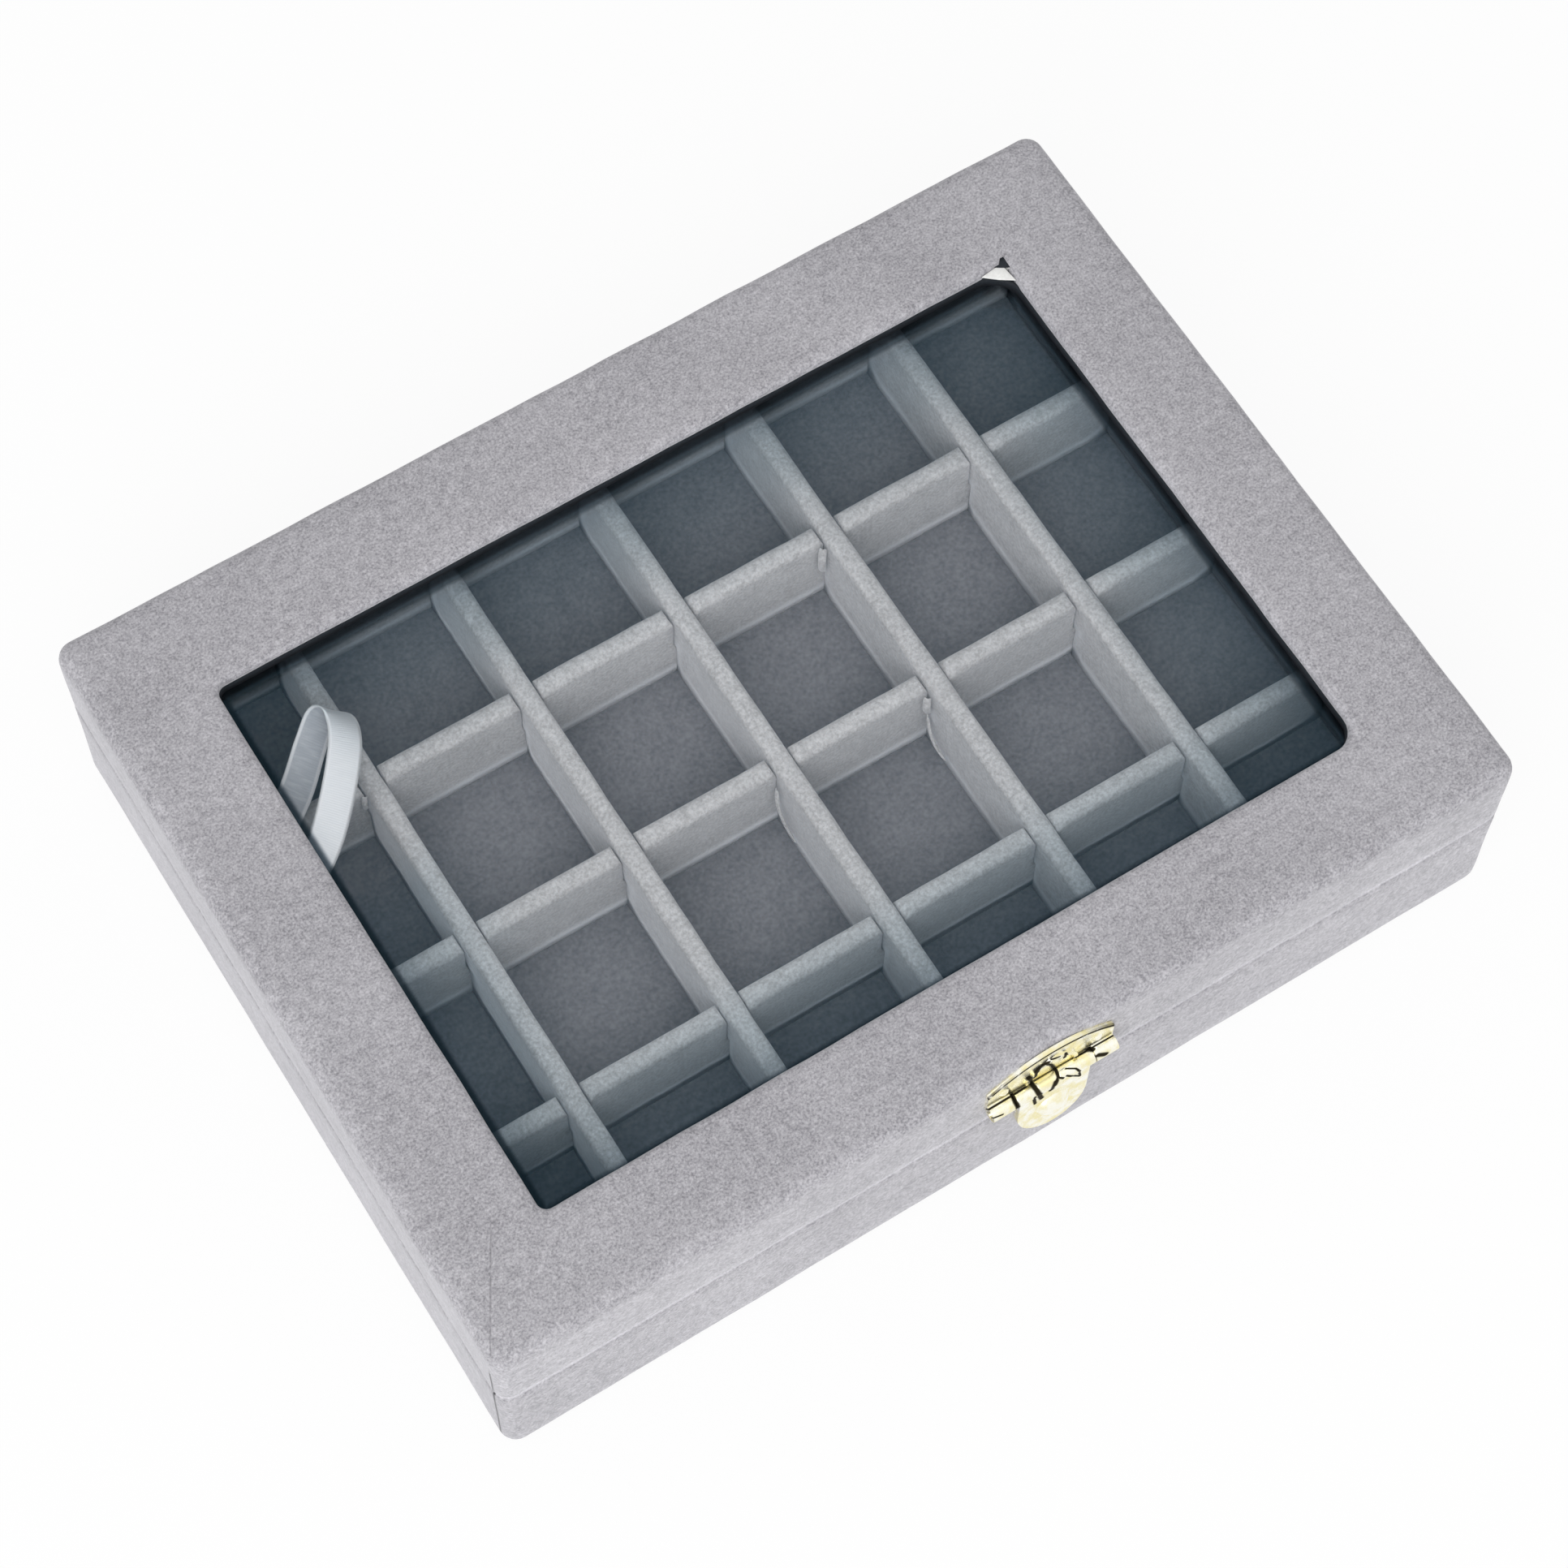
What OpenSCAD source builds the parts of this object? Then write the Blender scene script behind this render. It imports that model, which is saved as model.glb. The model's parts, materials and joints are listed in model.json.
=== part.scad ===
// Velvet ring display box: a covered board box of twenty-four cells under a hinged glass-topped lid,
// with a brass hasp at the front, two brass butt hinges at the back and a ribbon stay at the left.
// The origin is the middle of the underside. X runs along the front to the right, Y to the back, Z up.

/* [Box] */
// Length of the box along its front
box_w = 200; // [180:1:230]
// Depth of the box from front to back
box_d = 150; // [135:1:175]
// Height of the base, from the table to its rim
base_h = 26; // [24:0.5:32]
// Height of the lid, from its rim to its top
lid_h = 18.7; // [17.5:0.1:24]
// Gap between the two rims when the box is closed
seam_gap = 0.3; // [0.2:0.05:0.5]
// Radius of the four upright corners
corner_r = 3; // [2:0.25:5]
// Radius of the lid's top edges
top_edge_r = 2.4; // [1.4:0.1:3]

/* [Board and covering] */
// Thickness of the wall boards and of the lid panel
board_t = 3; // [2.5:0.1:3.5]
// Thickness of the velvet that covers the boards
velvet_t = 0.7; // [0.5:0.05:0.9]
// Thickness of the floor board
floor_t = 2.3; // [1.5:0.1:3]
// Thickness of the sheet glued under the box
sheet_t = 0.6; // [0.4:0.05:1]
// Width of velvet that shows round that sheet
sheet_margin = 3; // [2:0.5:6]
// Width of velvet turned in under the box
turn_in = 12; // [9:0.5:18]
// Thickness of the padded sheet on the floor
pad_t = 0.8; // [0.6:0.1:1.5]
// Room left round a soft piece so that it drops into place
soft_gap = 0.1; // [0.05:0.05:0.2]

/* [Liners and dividers] */
// Thickness of the padded liners inside the base
liner_t = 3.7; // [3:0.1:4.5]
// Slot behind a liner, where the ribbon's end goes
liner_gap = 0.6; // [0.5:0.05:0.8]
// Height of the dividers' tops above the table
divider_top = 24; // [20:0.5:25]
// Thickness of a divider
divider_t = 4; // [3:0.1:5]
// Radius of the padded top edges
divider_r = 1.4; // [0.8:0.1:1.4]
// Room each side of a divider in the slot that it crosses
lap_gap = 0.3; // [0.2:0.05:0.5]
// Room at a divider's ends
end_gap = 0.2; // [0.1:0.05:0.4]

/* [Window] */
// Length of the window in the lid
window_w = 160; // [140:1:165]
// Depth of the window in the lid
window_d = 109.5; // [90:0.5:112]
// How far the window lies in front of the middle
window_shift = 1; // [0:0.1:2]
// Radius of the window's corners
window_r = 2.5; // [1.5:0.25:5]
// Thickness of the glass
glass_t = 2; // [1.6:0.1:2.2]
// Width of glass held under the panel round the window
glass_lap = 4; // [3:0.5:6]
// Thickness of the covered card frame under the glass
lining_t = 1.5; // [1.2:0.1:2]
// How much wider the card frame's opening is than the window, each side
lining_step = 1.5; // [1:0.25:2.5]
// Thickness of the covered strips inside the lid
lid_liner_t = 1.5; // [1.2:0.1:2]

/* [Hasp] */
// How far the hasp sits to the right of the middle
hasp_x = 5; // [-10:0.5:10]
// Width of the hasp's plates
hasp_w = 24.8; // [24:0.2:28]
// Thickness of the hasp's sheet brass
hasp_t = 0.8; // [0.6:0.05:1]
// Distance of the arched plate's top below the top of the lid
plate_drop = 1.1; // [1:0.1:2]
// How much lower the lid plate's two ends are than its middle
plate_arch = 4.9; // [4:0.1:6]
// Height of the hasp's pin above the lid's rim
hasp_pin_rise = 6.9; // [6.2:0.1:7.6]
// Radius of the hasp's pin
hasp_pin_r = 0.6; // [0.5:0.05:0.7]
// Outside radius of the hasp's knuckles
hasp_knuckle_r = 1.5; // [1.3:0.05:1.6]
// Width of the swinging flap
flap_w = 14; // [12:0.5:15]
// Width of the flap's knuckle, a little wider than the flap
flap_knuckle_w = 15.5; // [15:0.1:16.5]
// How far the flap's rounded tip hangs below the rim of the base
flap_drop = 8; // [7.5:0.5:10.5]
// How far the tip is flared out from the flap
flap_flare = 1.2; // [1:0.1:2]
// Radius of the raised dome on the flap
dome_r = 3.4; // [3:0.1:3.8]
// Height of the dome above the flap
dome_h = 1.8; // [1.4:0.1:2.2]
// Radius of the peg that the dome snaps over
peg_r = 1.5; // [1.2:0.1:1.8]

/* [Hinges] */
// Distance of each hinge from the middle of the back
hinge_x = 60; // [45:1:70]
// Width of a hinge
hinge_w = 18; // [14:0.5:24]
// Height of one hinge leaf above or below the seam
leaf_h = 9; // [7:0.5:11]
// Thickness of a hinge leaf
leaf_t = 0.8; // [0.6:0.05:1]
// Radius of a hinge pin
hinge_pin_r = 0.7; // [0.6:0.05:0.8]
// Outside radius of the hinge knuckles
hinge_knuckle_r = 1.5; // [1.4:0.05:1.7]
// Running clearance of each pin in its knuckles
pin_gap = 0.05; // [0.03:0.01:0.08]
// Gap between neighbouring knuckles
knuckle_gap = 0.25; // [0.15:0.05:0.4]
// Radius of a nail's head
nail_r = 0.9; // [0.7:0.05:1.1]
// Length of a nail in the board
nail_l = 3; // [2:0.1:3.2]

/* [Ribbon] */
// Width of the satin ribbon
ribbon_w = 6; // [5:0.5:8]
// Thickness of the ribbon
ribbon_t = 0.4; // [0.3:0.05:0.45]
// Distance from the back to the place where the ribbon leaves the base liner
ribbon_base_in = 47; // [44:1:50]
// Distance from the back to the place where the ribbon leaves the lid liner
ribbon_lid_in = 61; // [58:1:64]
// How far the slack ribbon's loop reaches in over the cells
ribbon_reach = 33.2; // [30:0.2:35]
// How far the loop runs back from where the ribbon leaves the base
ribbon_back = 17.8; // [16:0.2:19]
// Length of ribbon glued behind the base liner
ribbon_tail = 9; // [7:0.5:11]
// Length of ribbon glued behind the lid liner
ribbon_lid_tail = 4; // [3:0.5:6]

/* [Hidden] */
$fn = 48;

// Cells along the front and from front to back
columns = 6;
rows = 4;
// A hair beyond a face, so that a cut passes right through it
cut = 1;

velvet_grey = [0.72, 0.71, 0.74];
inner_grey = [0.60, 0.61, 0.65];
board_grey = [0.55, 0.52, 0.48];
pale_brass = [0.89, 0.84, 0.62];
ribbon_white = [0.92, 0.94, 0.97];
glass_tint = [0.75, 0.85, 0.88, 0.35];

// Outline of the boards under the velvet, and the space between the walls
core_w = box_w - 2 * velvet_t;
core_d = box_d - 2 * velvet_t;
core_r = corner_r - velvet_t;
in_w = core_w - 2 * board_t;
in_d = core_d - 2 * board_t;

// Heights in the base
board_z = sheet_t + velvet_t;
base_rim = base_h - velvet_t;
pad_z = board_z + floor_t;
pad_top = pad_z + pad_t;
divider_z = pad_top + soft_gap;
divider_h = divider_top - divider_z;
lap_z = divider_z + divider_h / 2;

// Cells between the liners
cavity_w = in_w - 2 * (liner_gap + liner_t);
cavity_d = in_d - 2 * (liner_gap + liner_t);
cell_w = (cavity_w - (columns - 1) * divider_t) / columns;
cell_d = (cavity_d - (rows - 1) * divider_t) / rows;
pitch_x = cell_w + divider_t;
pitch_y = cell_d + divider_t;

// Heights in the lid
lid_z = base_h + seam_gap;
lid_top = lid_z + lid_h;
lid_rim = lid_z + velvet_t;
panel_z = lid_top - velvet_t - board_t;
glass_z = panel_z - glass_t;
lining_top = glass_z - soft_gap;
lining_z = lining_top - lining_t;
lid_liner_z = lid_rim + 0.3;
lid_liner_top = lining_z - soft_gap;
glass_w = window_w + 2 * glass_lap;
glass_d = window_d + 2 * glass_lap;

// Heights of the hasp above the table
plate_top = lid_top - plate_drop;
plate_shoulder = plate_top - plate_arch;
hasp_pin_z = lid_z + hasp_pin_rise;
flap_tip_z = base_h - flap_drop;
peg_z = base_h - seam_gap - peg_r;
base_plate_top = peg_z + peg_r;
base_plate_h = flap_w * 0.6;
lid_nail_z = hasp_pin_z + hasp_knuckle_r + 3 * nail_r;

// Depths of the hasp, counted outwards from the front velvet
hasp_axis_out = hasp_knuckle_r + 0.1;
flap_back = hasp_axis_out + 0.3;
flap_front = flap_back + hasp_t;
flap_bend_z = flap_tip_z + flap_w / 2;
dome_ball_r = (dome_r * dome_r + dome_h * dome_h) / (2 * dome_h);
dome_ball_out = flap_front + dome_h - dome_ball_r;
knuckle_w = (hasp_w - flap_knuckle_w) / 2 - knuckle_gap;
hasp_nail_x = hasp_w / 2 - 3.5 * nail_r;
relief_r = flap_w * 0.37;
relief_z = hasp_pin_z + hasp_knuckle_r + hasp_t;
base_plate_w = flap_w * 0.8;
base_nail_x = base_plate_w / 2 - 2 * nail_r;
base_nail_z = base_plate_top - base_plate_h / 2;
peg_l = flap_front - hasp_t + 0.2;

// The hinge axis lies in the seam, just behind the back velvet
hinge_z = base_h + seam_gap / 2;
hinge_out = hinge_knuckle_r + 0.15;
hinge_third = hinge_w / 3;
leaf_nail_x = hinge_w / 2 - 3.5;
leaf_nail_z = hinge_knuckle_r + (leaf_h - hinge_knuckle_r) * 0.55;

// The ribbon's ends stand in the slots behind the left liners
ribbon_slot_x = -in_w / 2 + liner_gap / 2;
ribbon_base_y = box_d / 2 - ribbon_base_in;
ribbon_lid_y = box_d / 2 - ribbon_lid_in;
ribbon_rise = lid_liner_top - divider_top;
notch_h = 0.15 * ribbon_rise;
// Room each side of the ribbon in its notch
notch_gap = 1;

// Point of the slack loop, as shares of its reach, its run to the back and its rise
function loop(reach, from_y, back, rise) = [ribbon_slot_x + reach * ribbon_reach,
    from_y + back * ribbon_back, divider_top + rise * ribbon_rise];

// Points of the ribbon's middle line, from the base end to the lid end
ribbon_points = [
    [ribbon_slot_x, ribbon_base_y, divider_top - ribbon_tail],
    [ribbon_slot_x, ribbon_base_y, divider_top - notch_gap],
    loop(0.02, ribbon_base_y, 0, 0.05),
    loop(0.12, ribbon_base_y, 0.02, 0.14),
    loop(0.35, ribbon_base_y, 0.16, 0.25),
    loop(0.6, ribbon_base_y, 0.455, 0.36),
    loop(0.81, ribbon_base_y, 0.82, 0.45),
    loop(0.94, ribbon_base_y, 1, 0.56),
    loop(1, ribbon_base_y, 0.84, 0.66),
    loop(0.91, ribbon_base_y, 0.45, 0.75),
    loop(0.61, ribbon_lid_y, 0.56, 0.82),
    loop(0.33, ribbon_lid_y, 0.17, 0.88),
    loop(0.11, ribbon_lid_y, 0.01, 0.925),
    loop(0.027, ribbon_lid_y, 0, 0.93),
    loop(0, ribbon_lid_y, 0, 0.86),
    [ribbon_slot_x, ribbon_lid_y, lid_liner_top - notch_h - ribbon_lid_tail]];

// Direction across the ribbon at each point
ribbon_across = [
    [0, 1, 0], [0, 1, 0], [-0.1, 1, 0], [-0.35, 0.93, 0.1], [-0.6, 0.75, 0.25], [-0.68, 0.6, 0.38],
    [-0.72, 0.45, 0.52], [-0.74, 0.34, 0.6], [-0.76, 0.42, 0.5], [-0.78, 0.5, 0.36],
    [-0.72, 0.62, 0.3], [-0.55, 0.8, 0.2], [-0.2, 1, 0], [0, 1, 0], [0, 1, 0], [0, 1, 0]];
ribbon_steps = 4;

function unit(v) = v / norm(v);
function blend4(a, b, c, d, t) = 0.5 * (2 * b + (c - a) * t + (2 * a - 5 * b + 4 * c - d) * t * t
    + (3 * b - a - 3 * c + d) * t * t * t);
function pick(list, i) = list[max(0, min(len(list) - 1, i))];
function smooth(list, steps) = [
    for (i = [0:len(list) - 2])
        for (k = [0:steps - 1])
            blend4(pick(list, i - 1), list[i], list[i + 1], pick(list, i + 2), k / steps),
    list[len(list) - 1]];

// Flat outline with true round corners
module round_rect(w, d, r) {
    union() {
        square([w - 2 * r, d], center = true);
        square([w, d - 2 * r], center = true);
        for (x = [-1, 1])
            for (y = [-1, 1])
                translate([x * (w / 2 - r), y * (d / 2 - r)]) circle(r);
    }
}

// Block with round upright corners and softly rounded top edges
module round_top_block(w, d, h, corner, edge) {
    hull() {
        linear_extrude(h - edge) round_rect(w, d, corner);
        for (x = [-1, 1])
            for (y = [-1, 1])
                translate([x * (w / 2 - edge), y * (d / 2 - edge), h - edge])
                    intersection() {
                        sphere(edge, $fn = 32);
                        translate([-edge, -edge, 0]) cube([2 * edge, 2 * edge, edge]);
                    }
    }
}

// Profile of a padded strip that stands on its edge
module strip_profile(t, h, r) {
    translate([-t / 2, 0]) square([t, h - r]);
    translate([r - t / 2, 0]) square([t - 2 * r, h]);
    for (x = [-1, 1])
        translate([x * (t / 2 - r), h - r]) circle(r);
}

module strip_along_x(l, t, h, r) {
    rotate([90, 0, 90]) linear_extrude(l, center = true) strip_profile(t, h, r);
}

module strip_along_y(l, t, h, r) {
    rotate([90, 0, 0]) linear_extrude(l, center = true) strip_profile(t, h, r);
}

// Places children on the front: X to the right, Y up, Z out of the box
module on_front(x, z) {
    translate([x, -box_d / 2, z]) rotate([90, 0, 0]) children();
}

// Places children on the back: Y up, Z out of the box
module on_back(x, z) {
    translate([x, box_d / 2, z]) rotate([90, 0, 180]) children();
}

// Small round-headed nail driven along -Z, its head on the plane of Z = 0
module nail(length) {
    rotate_extrude() union() {
        translate([0, -length]) square([nail_r * 0.5, length]);
        intersection() {
            translate([0, -nail_r * 0.75]) circle(nail_r * 1.25);
            square([nail_r, nail_r]);
        }
    }
}

// Clearance hole for such a nail
module nail_hole() {
    translate([0, 0, -cut]) cylinder(r = nail_r * 0.5 + 0.05, h = hasp_t + leaf_t + 2 * cut);
}

// Base

module bottom_sheet() {
    color([0.45, 0.45, 0.48])
        linear_extrude(sheet_t)
            round_rect(box_w - 2 * sheet_margin, box_d - 2 * sheet_margin, corner_r - 1);
}

module base_floor_board() {
    color(board_grey)
        translate([-in_w / 2, -in_d / 2, board_z]) cube([in_w, in_d, floor_t]);
}

// Long wall board; side is -1 at the front and 1 at the back
module long_wall(side, z, h) {
    intersection() {
        translate([0, 0, z]) linear_extrude(h) round_rect(core_w, core_d, core_r);
        translate([-core_w / 2, side * (core_d - board_t) / 2 - board_t / 2, z])
            cube([core_w, board_t, h]);
    }
}

// Short wall board between the long ones; side is -1 at the left and 1 at the right
module short_wall(side, z, h) {
    translate([side * (core_w - board_t) / 2 - board_t / 2, -in_d / 2, z])
        cube([board_t, in_d, h]);
}

// Holes in a wall for nails that are driven through it
module wall_nail_holes(list) {
    for (p = list)
        translate(p) rotate([90, 0, 0])
            cylinder(r = nail_r * 0.5, h = 2 * (board_t + velvet_t + cut), center = true);
}

module base_front_wall() {
    color(board_grey)
        difference() {
            long_wall(-1, board_z, base_rim - board_z);
            wall_nail_holes([for (s = [-1, 1]) [hasp_x + s * base_nail_x, -core_d / 2, base_nail_z]]);
        }
}

module base_back_wall() {
    color(board_grey)
        difference() {
            long_wall(1, board_z, base_rim - board_z);
            wall_nail_holes([for (h = [-1, 1]) for (s = [-1, 1])
                [h * hinge_x + s * leaf_nail_x, core_d / 2, hinge_z - leaf_nail_z]]);
        }
}

module base_left_wall() {
    color(board_grey) short_wall(-1, board_z, base_rim - board_z);
}

module base_right_wall() {
    color(board_grey) short_wall(1, board_z, base_rim - board_z);
}

// Velvet round the outside of the base, over its rim and in under its edge
module base_velvet() {
    color(velvet_grey)
        difference() {
            translate([0, 0, sheet_t]) linear_extrude(base_h - sheet_t)
                round_rect(box_w, box_d, corner_r);
            translate([0, 0, board_z]) linear_extrude(base_rim - board_z)
                round_rect(core_w, core_d, core_r);
            translate([0, 0, base_rim]) linear_extrude(velvet_t + cut)
                square([in_w, in_d], center = true);
            linear_extrude(board_z + cut)
                square([box_w - 2 * turn_in, box_d - 2 * turn_in], center = true);
            wall_nail_holes([for (s = [-1, 1]) [hasp_x + s * base_nail_x, -core_d / 2, base_nail_z]]);
            wall_nail_holes([for (h = [-1, 1]) for (s = [-1, 1])
                [h * hinge_x + s * leaf_nail_x, core_d / 2, hinge_z - leaf_nail_z]]);
        }
}

module floor_pad() {
    color(inner_grey)
        translate([0, 0, pad_z]) linear_extrude(pad_t)
            round_rect(in_w - 2 * soft_gap, in_d - 2 * soft_gap, 1);
}

// Padded liner along the front or back
module long_liner(side) {
    color(inner_grey)
        translate([0, side * (in_d / 2 - liner_gap - liner_t / 2), divider_z])
            strip_along_x(in_w - 2 * liner_gap, liner_t, divider_h, divider_r);
}

// Padded liner along the left or right, between the long ones
module short_liner(side) {
    color(inner_grey)
        translate([side * (in_w / 2 - liner_gap - liner_t / 2), 0, divider_z])
            strip_along_y(cavity_d - 2 * soft_gap, liner_t, divider_h, divider_r);
}

module base_front_liner() { long_liner(-1); }
module base_back_liner() { long_liner(1); }
module base_left_liner() { short_liner(-1); }
module base_right_liner() { short_liner(1); }

// Dividers halved into each other: the long ones are slotted from below, the cross ones from above

function long_x(i) = -cavity_w / 2 + i * pitch_x - divider_t / 2;
function cross_y(i) = -cavity_d / 2 + i * pitch_y - divider_t / 2;
lap_w = divider_t + 2 * lap_gap;

module long_divider(i) {
    color(inner_grey)
        difference() {
            translate([long_x(i), 0, divider_z])
                strip_along_y(cavity_d - 2 * end_gap, divider_t, divider_h, divider_r);
            for (k = [1:rows - 1])
                translate([long_x(i) - divider_t, cross_y(k) - lap_w / 2, divider_z - cut])
                    cube([2 * divider_t, lap_w, lap_z - divider_z + cut + soft_gap / 2]);
        }
}

module cross_divider(k) {
    color(inner_grey)
        difference() {
            translate([0, cross_y(k), divider_z])
                strip_along_x(cavity_w - 2 * end_gap, divider_t, divider_h, divider_r);
            for (i = [1:columns - 1])
                translate([long_x(i) - lap_w / 2, cross_y(k) - divider_t, lap_z - soft_gap / 2])
                    cube([lap_w, 2 * divider_t, divider_top - lap_z + cut]);
        }
}

// Butt hinges: the base leaf has the two outer knuckles, the lid leaf the middle one

module leaf(x, up) {
    difference() {
        union() {
            on_back(x, hinge_z + up * (hinge_knuckle_r * 0.4 + leaf_h) / 2)
                linear_extrude(leaf_t)
                    round_rect(hinge_w, leaf_h - hinge_knuckle_r * 0.4, 0.8);
            on_back(x, hinge_z) leaf_knuckles(up);
        }
        on_back(x, hinge_z) translate([0, 0, hinge_out]) rotate([0, 90, 0])
            cylinder(r = hinge_pin_r + pin_gap, h = hinge_w + 2 * cut, center = true);
        on_back(x, hinge_z) other_knuckles(up);
        for (s = [-1, 1])
            on_back(x + s * leaf_nail_x, hinge_z + up * leaf_nail_z) nail_hole();
    }
}

// Knuckles and the curl that ties them to the leaf
module leaf_knuckles(up) {
    for (s = up > 0 ? [0] : [-1, 1])
        translate([s * hinge_third, 0, 0]) {
            translate([0, 0, hinge_out]) rotate([0, 90, 0])
                cylinder(r = hinge_knuckle_r, h = hinge_third, center = true);
            translate([-hinge_third / 2, up > 0 ? 0 : -hinge_knuckle_r, 0.15])
                cube([hinge_third, hinge_knuckle_r, leaf_t]);
        }
}

// Room for the other leaf's knuckles
module other_knuckles(up) {
    for (s = up > 0 ? [-1, 1] : [0])
        translate([s * (hinge_third + (s == 0 ? 0 : cut / 2)), 0, hinge_out]) rotate([0, 90, 0])
            cylinder(r = hinge_knuckle_r + knuckle_gap,
                h = hinge_third + 2 * knuckle_gap + (s == 0 ? 0 : cut), center = true);
}

module hinge_pin(x) {
    color(pale_brass)
        on_back(x, hinge_z) translate([0, 0, hinge_out]) rotate([0, 90, 0])
            cylinder(r = hinge_pin_r, h = hinge_w + 0.6, center = true);
}

module left_hinge_base_leaf() { color(pale_brass) leaf(-hinge_x, -1); }
module right_hinge_base_leaf() { color(pale_brass) leaf(hinge_x, -1); }
module left_hinge_lid_leaf() { color(pale_brass) leaf(-hinge_x, 1); }
module right_hinge_lid_leaf() { color(pale_brass) leaf(hinge_x, 1); }
module left_hinge_pin() { hinge_pin(-hinge_x); }
module right_hinge_pin() { hinge_pin(hinge_x); }

module hinge_nails(up) {
    color(pale_brass)
        for (h = [-1, 1])
            for (s = [-1, 1])
                on_back(h * hinge_x + s * leaf_nail_x, hinge_z + up * leaf_nail_z)
                    translate([0, 0, leaf_t]) nail(nail_l + leaf_t);
}

module hinge_base_nails() { hinge_nails(-1); }
module hinge_lid_nails() { hinge_nails(1); }

// Hasp

// Arched outline of the lid plate above the pin
module plate_outline() {
    half = hasp_w / 2;
    rise = plate_top - plate_shoulder;
    arch_r = (half * half + rise * rise) / (2 * rise);
    intersection() {
        translate([-half, hasp_pin_z]) square([hasp_w, plate_top - hasp_pin_z + cut]);
        translate([0, plate_top - arch_r]) circle(arch_r, $fn = 96);
    }
}

module hasp_lid_plate() {
    color(pale_brass)
        difference() {
            union() {
                on_front(hasp_x, 0) linear_extrude(hasp_t) plate_outline();
                on_front(hasp_x, 0) translate([0, 0, hasp_t]) linear_extrude(hasp_t / 2)
                    difference() {
                        translate([0, relief_z]) circle(relief_r);
                        translate([0, relief_z]) circle(relief_r - hasp_t);
                        translate([-hasp_w / 2, 0]) square([hasp_w, relief_z]);
                    }
                for (s = [-1, 1])
                    on_front(hasp_x + s * (hasp_w - knuckle_w) / 2, hasp_pin_z) {
                        translate([0, 0, hasp_axis_out]) rotate([0, 90, 0])
                            cylinder(r = hasp_knuckle_r, h = knuckle_w, center = true);
                        translate([-knuckle_w / 2, 0, 0])
                            cube([knuckle_w, hasp_knuckle_r, hasp_axis_out]);
                    }
            }
            on_front(hasp_x, hasp_pin_z) translate([0, 0, hasp_axis_out]) rotate([0, 90, 0])
                cylinder(r = hasp_pin_r + pin_gap, h = hasp_w + 2 * cut, center = true);
            on_front(hasp_x, hasp_pin_z) translate([0, 0, hasp_axis_out]) rotate([0, 90, 0])
                cylinder(r = hasp_knuckle_r + knuckle_gap,
                    h = flap_knuckle_w + 2 * knuckle_gap, center = true);
            for (s = [-1, 1])
                on_front(hasp_x + s * hasp_nail_x, lid_nail_z) nail_hole();
        }
}

module hasp_pin() {
    color(pale_brass)
        on_front(hasp_x, hasp_pin_z) translate([0, 0, hasp_axis_out]) rotate([0, 90, 0])
            cylinder(r = hasp_pin_r, h = hasp_w + 0.5, center = true);
}

// Side profile of the flap: flat leaf, then the tip that flares outwards
module flap_profile() {
    polygon([
        [flap_back, flap_bend_z - 0.5],
        [flap_back, hasp_pin_z - 0.3],
        [flap_front, hasp_pin_z - 0.3],
        [flap_front, flap_bend_z - 0.5],
        [flap_front + flap_flare, flap_tip_z - cut],
        [flap_back + flap_flare, flap_tip_z - cut]]);
}

// Front outline of the flap: straight sides and a round tip
module flap_outline() {
    translate([-flap_w / 2, flap_bend_z]) square([flap_w, hasp_pin_z - flap_bend_z]);
    translate([0, flap_bend_z]) circle(flap_w / 2, $fn = 72);
}

module hasp_flap() {
    color(pale_brass)
        difference() {
            union() {
                intersection() {
                    translate([hasp_x, -box_d / 2, 0]) rotate([90, 0, -90])
                        linear_extrude(flap_w, center = true) flap_profile();
                    on_front(hasp_x, 0) linear_extrude(flap_front + flap_flare + cut)
                        flap_outline();
                }
                on_front(hasp_x, hasp_pin_z) translate([0, 0, hasp_axis_out]) rotate([0, 90, 0])
                    cylinder(r = hasp_knuckle_r, h = flap_knuckle_w, center = true);
                intersection() {
                    on_front(hasp_x, peg_z) translate([0, 0, dome_ball_out])
                        sphere(dome_ball_r, $fn = 64);
                    on_front(hasp_x, peg_z) translate([0, 0, flap_front - 0.2])
                        cylinder(r = dome_r + cut, h = dome_h + cut);
                }
            }
            on_front(hasp_x, hasp_pin_z) translate([0, 0, hasp_axis_out]) rotate([0, 90, 0])
                cylinder(r = hasp_pin_r + pin_gap, h = hasp_w, center = true);
            on_front(hasp_x, peg_z) translate([0, 0, flap_back - cut])
                cylinder(r = dome_r - hasp_t, h = cut + hasp_t);
            on_front(hasp_x, peg_z) translate([0, 0, dome_ball_out])
                intersection() {
                    sphere(dome_ball_r - hasp_t, $fn = 64);
                    translate([0, 0, flap_back - dome_ball_out])
                        cylinder(r = dome_r, h = dome_ball_r);
                }
        }
}

// Plate on the base with the peg that the flap's dome snaps over
module hasp_base_plate() {
    color(pale_brass)
        difference() {
            union() {
                on_front(hasp_x, base_nail_z) linear_extrude(hasp_t)
                    round_rect(base_plate_w, base_plate_h, 2 * nail_r);
                on_front(hasp_x, peg_z) cylinder(r = peg_r, h = peg_l);
                on_front(hasp_x, peg_z) translate([0, 0, peg_l]) sphere(peg_r);
            }
            for (s = [-1, 1])
                on_front(hasp_x + s * base_nail_x, base_nail_z) nail_hole();
        }
}

module hasp_base_nails() {
    color(pale_brass)
        for (s = [-1, 1])
            on_front(hasp_x + s * base_nail_x, base_nail_z)
                translate([0, 0, hasp_t]) nail(nail_l + hasp_t);
}

module hasp_lid_nails() {
    color(pale_brass)
        for (s = [-1, 1])
            on_front(hasp_x + s * hasp_nail_x, lid_nail_z)
                translate([0, 0, hasp_t]) nail(nail_l + hasp_t);
}

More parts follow.
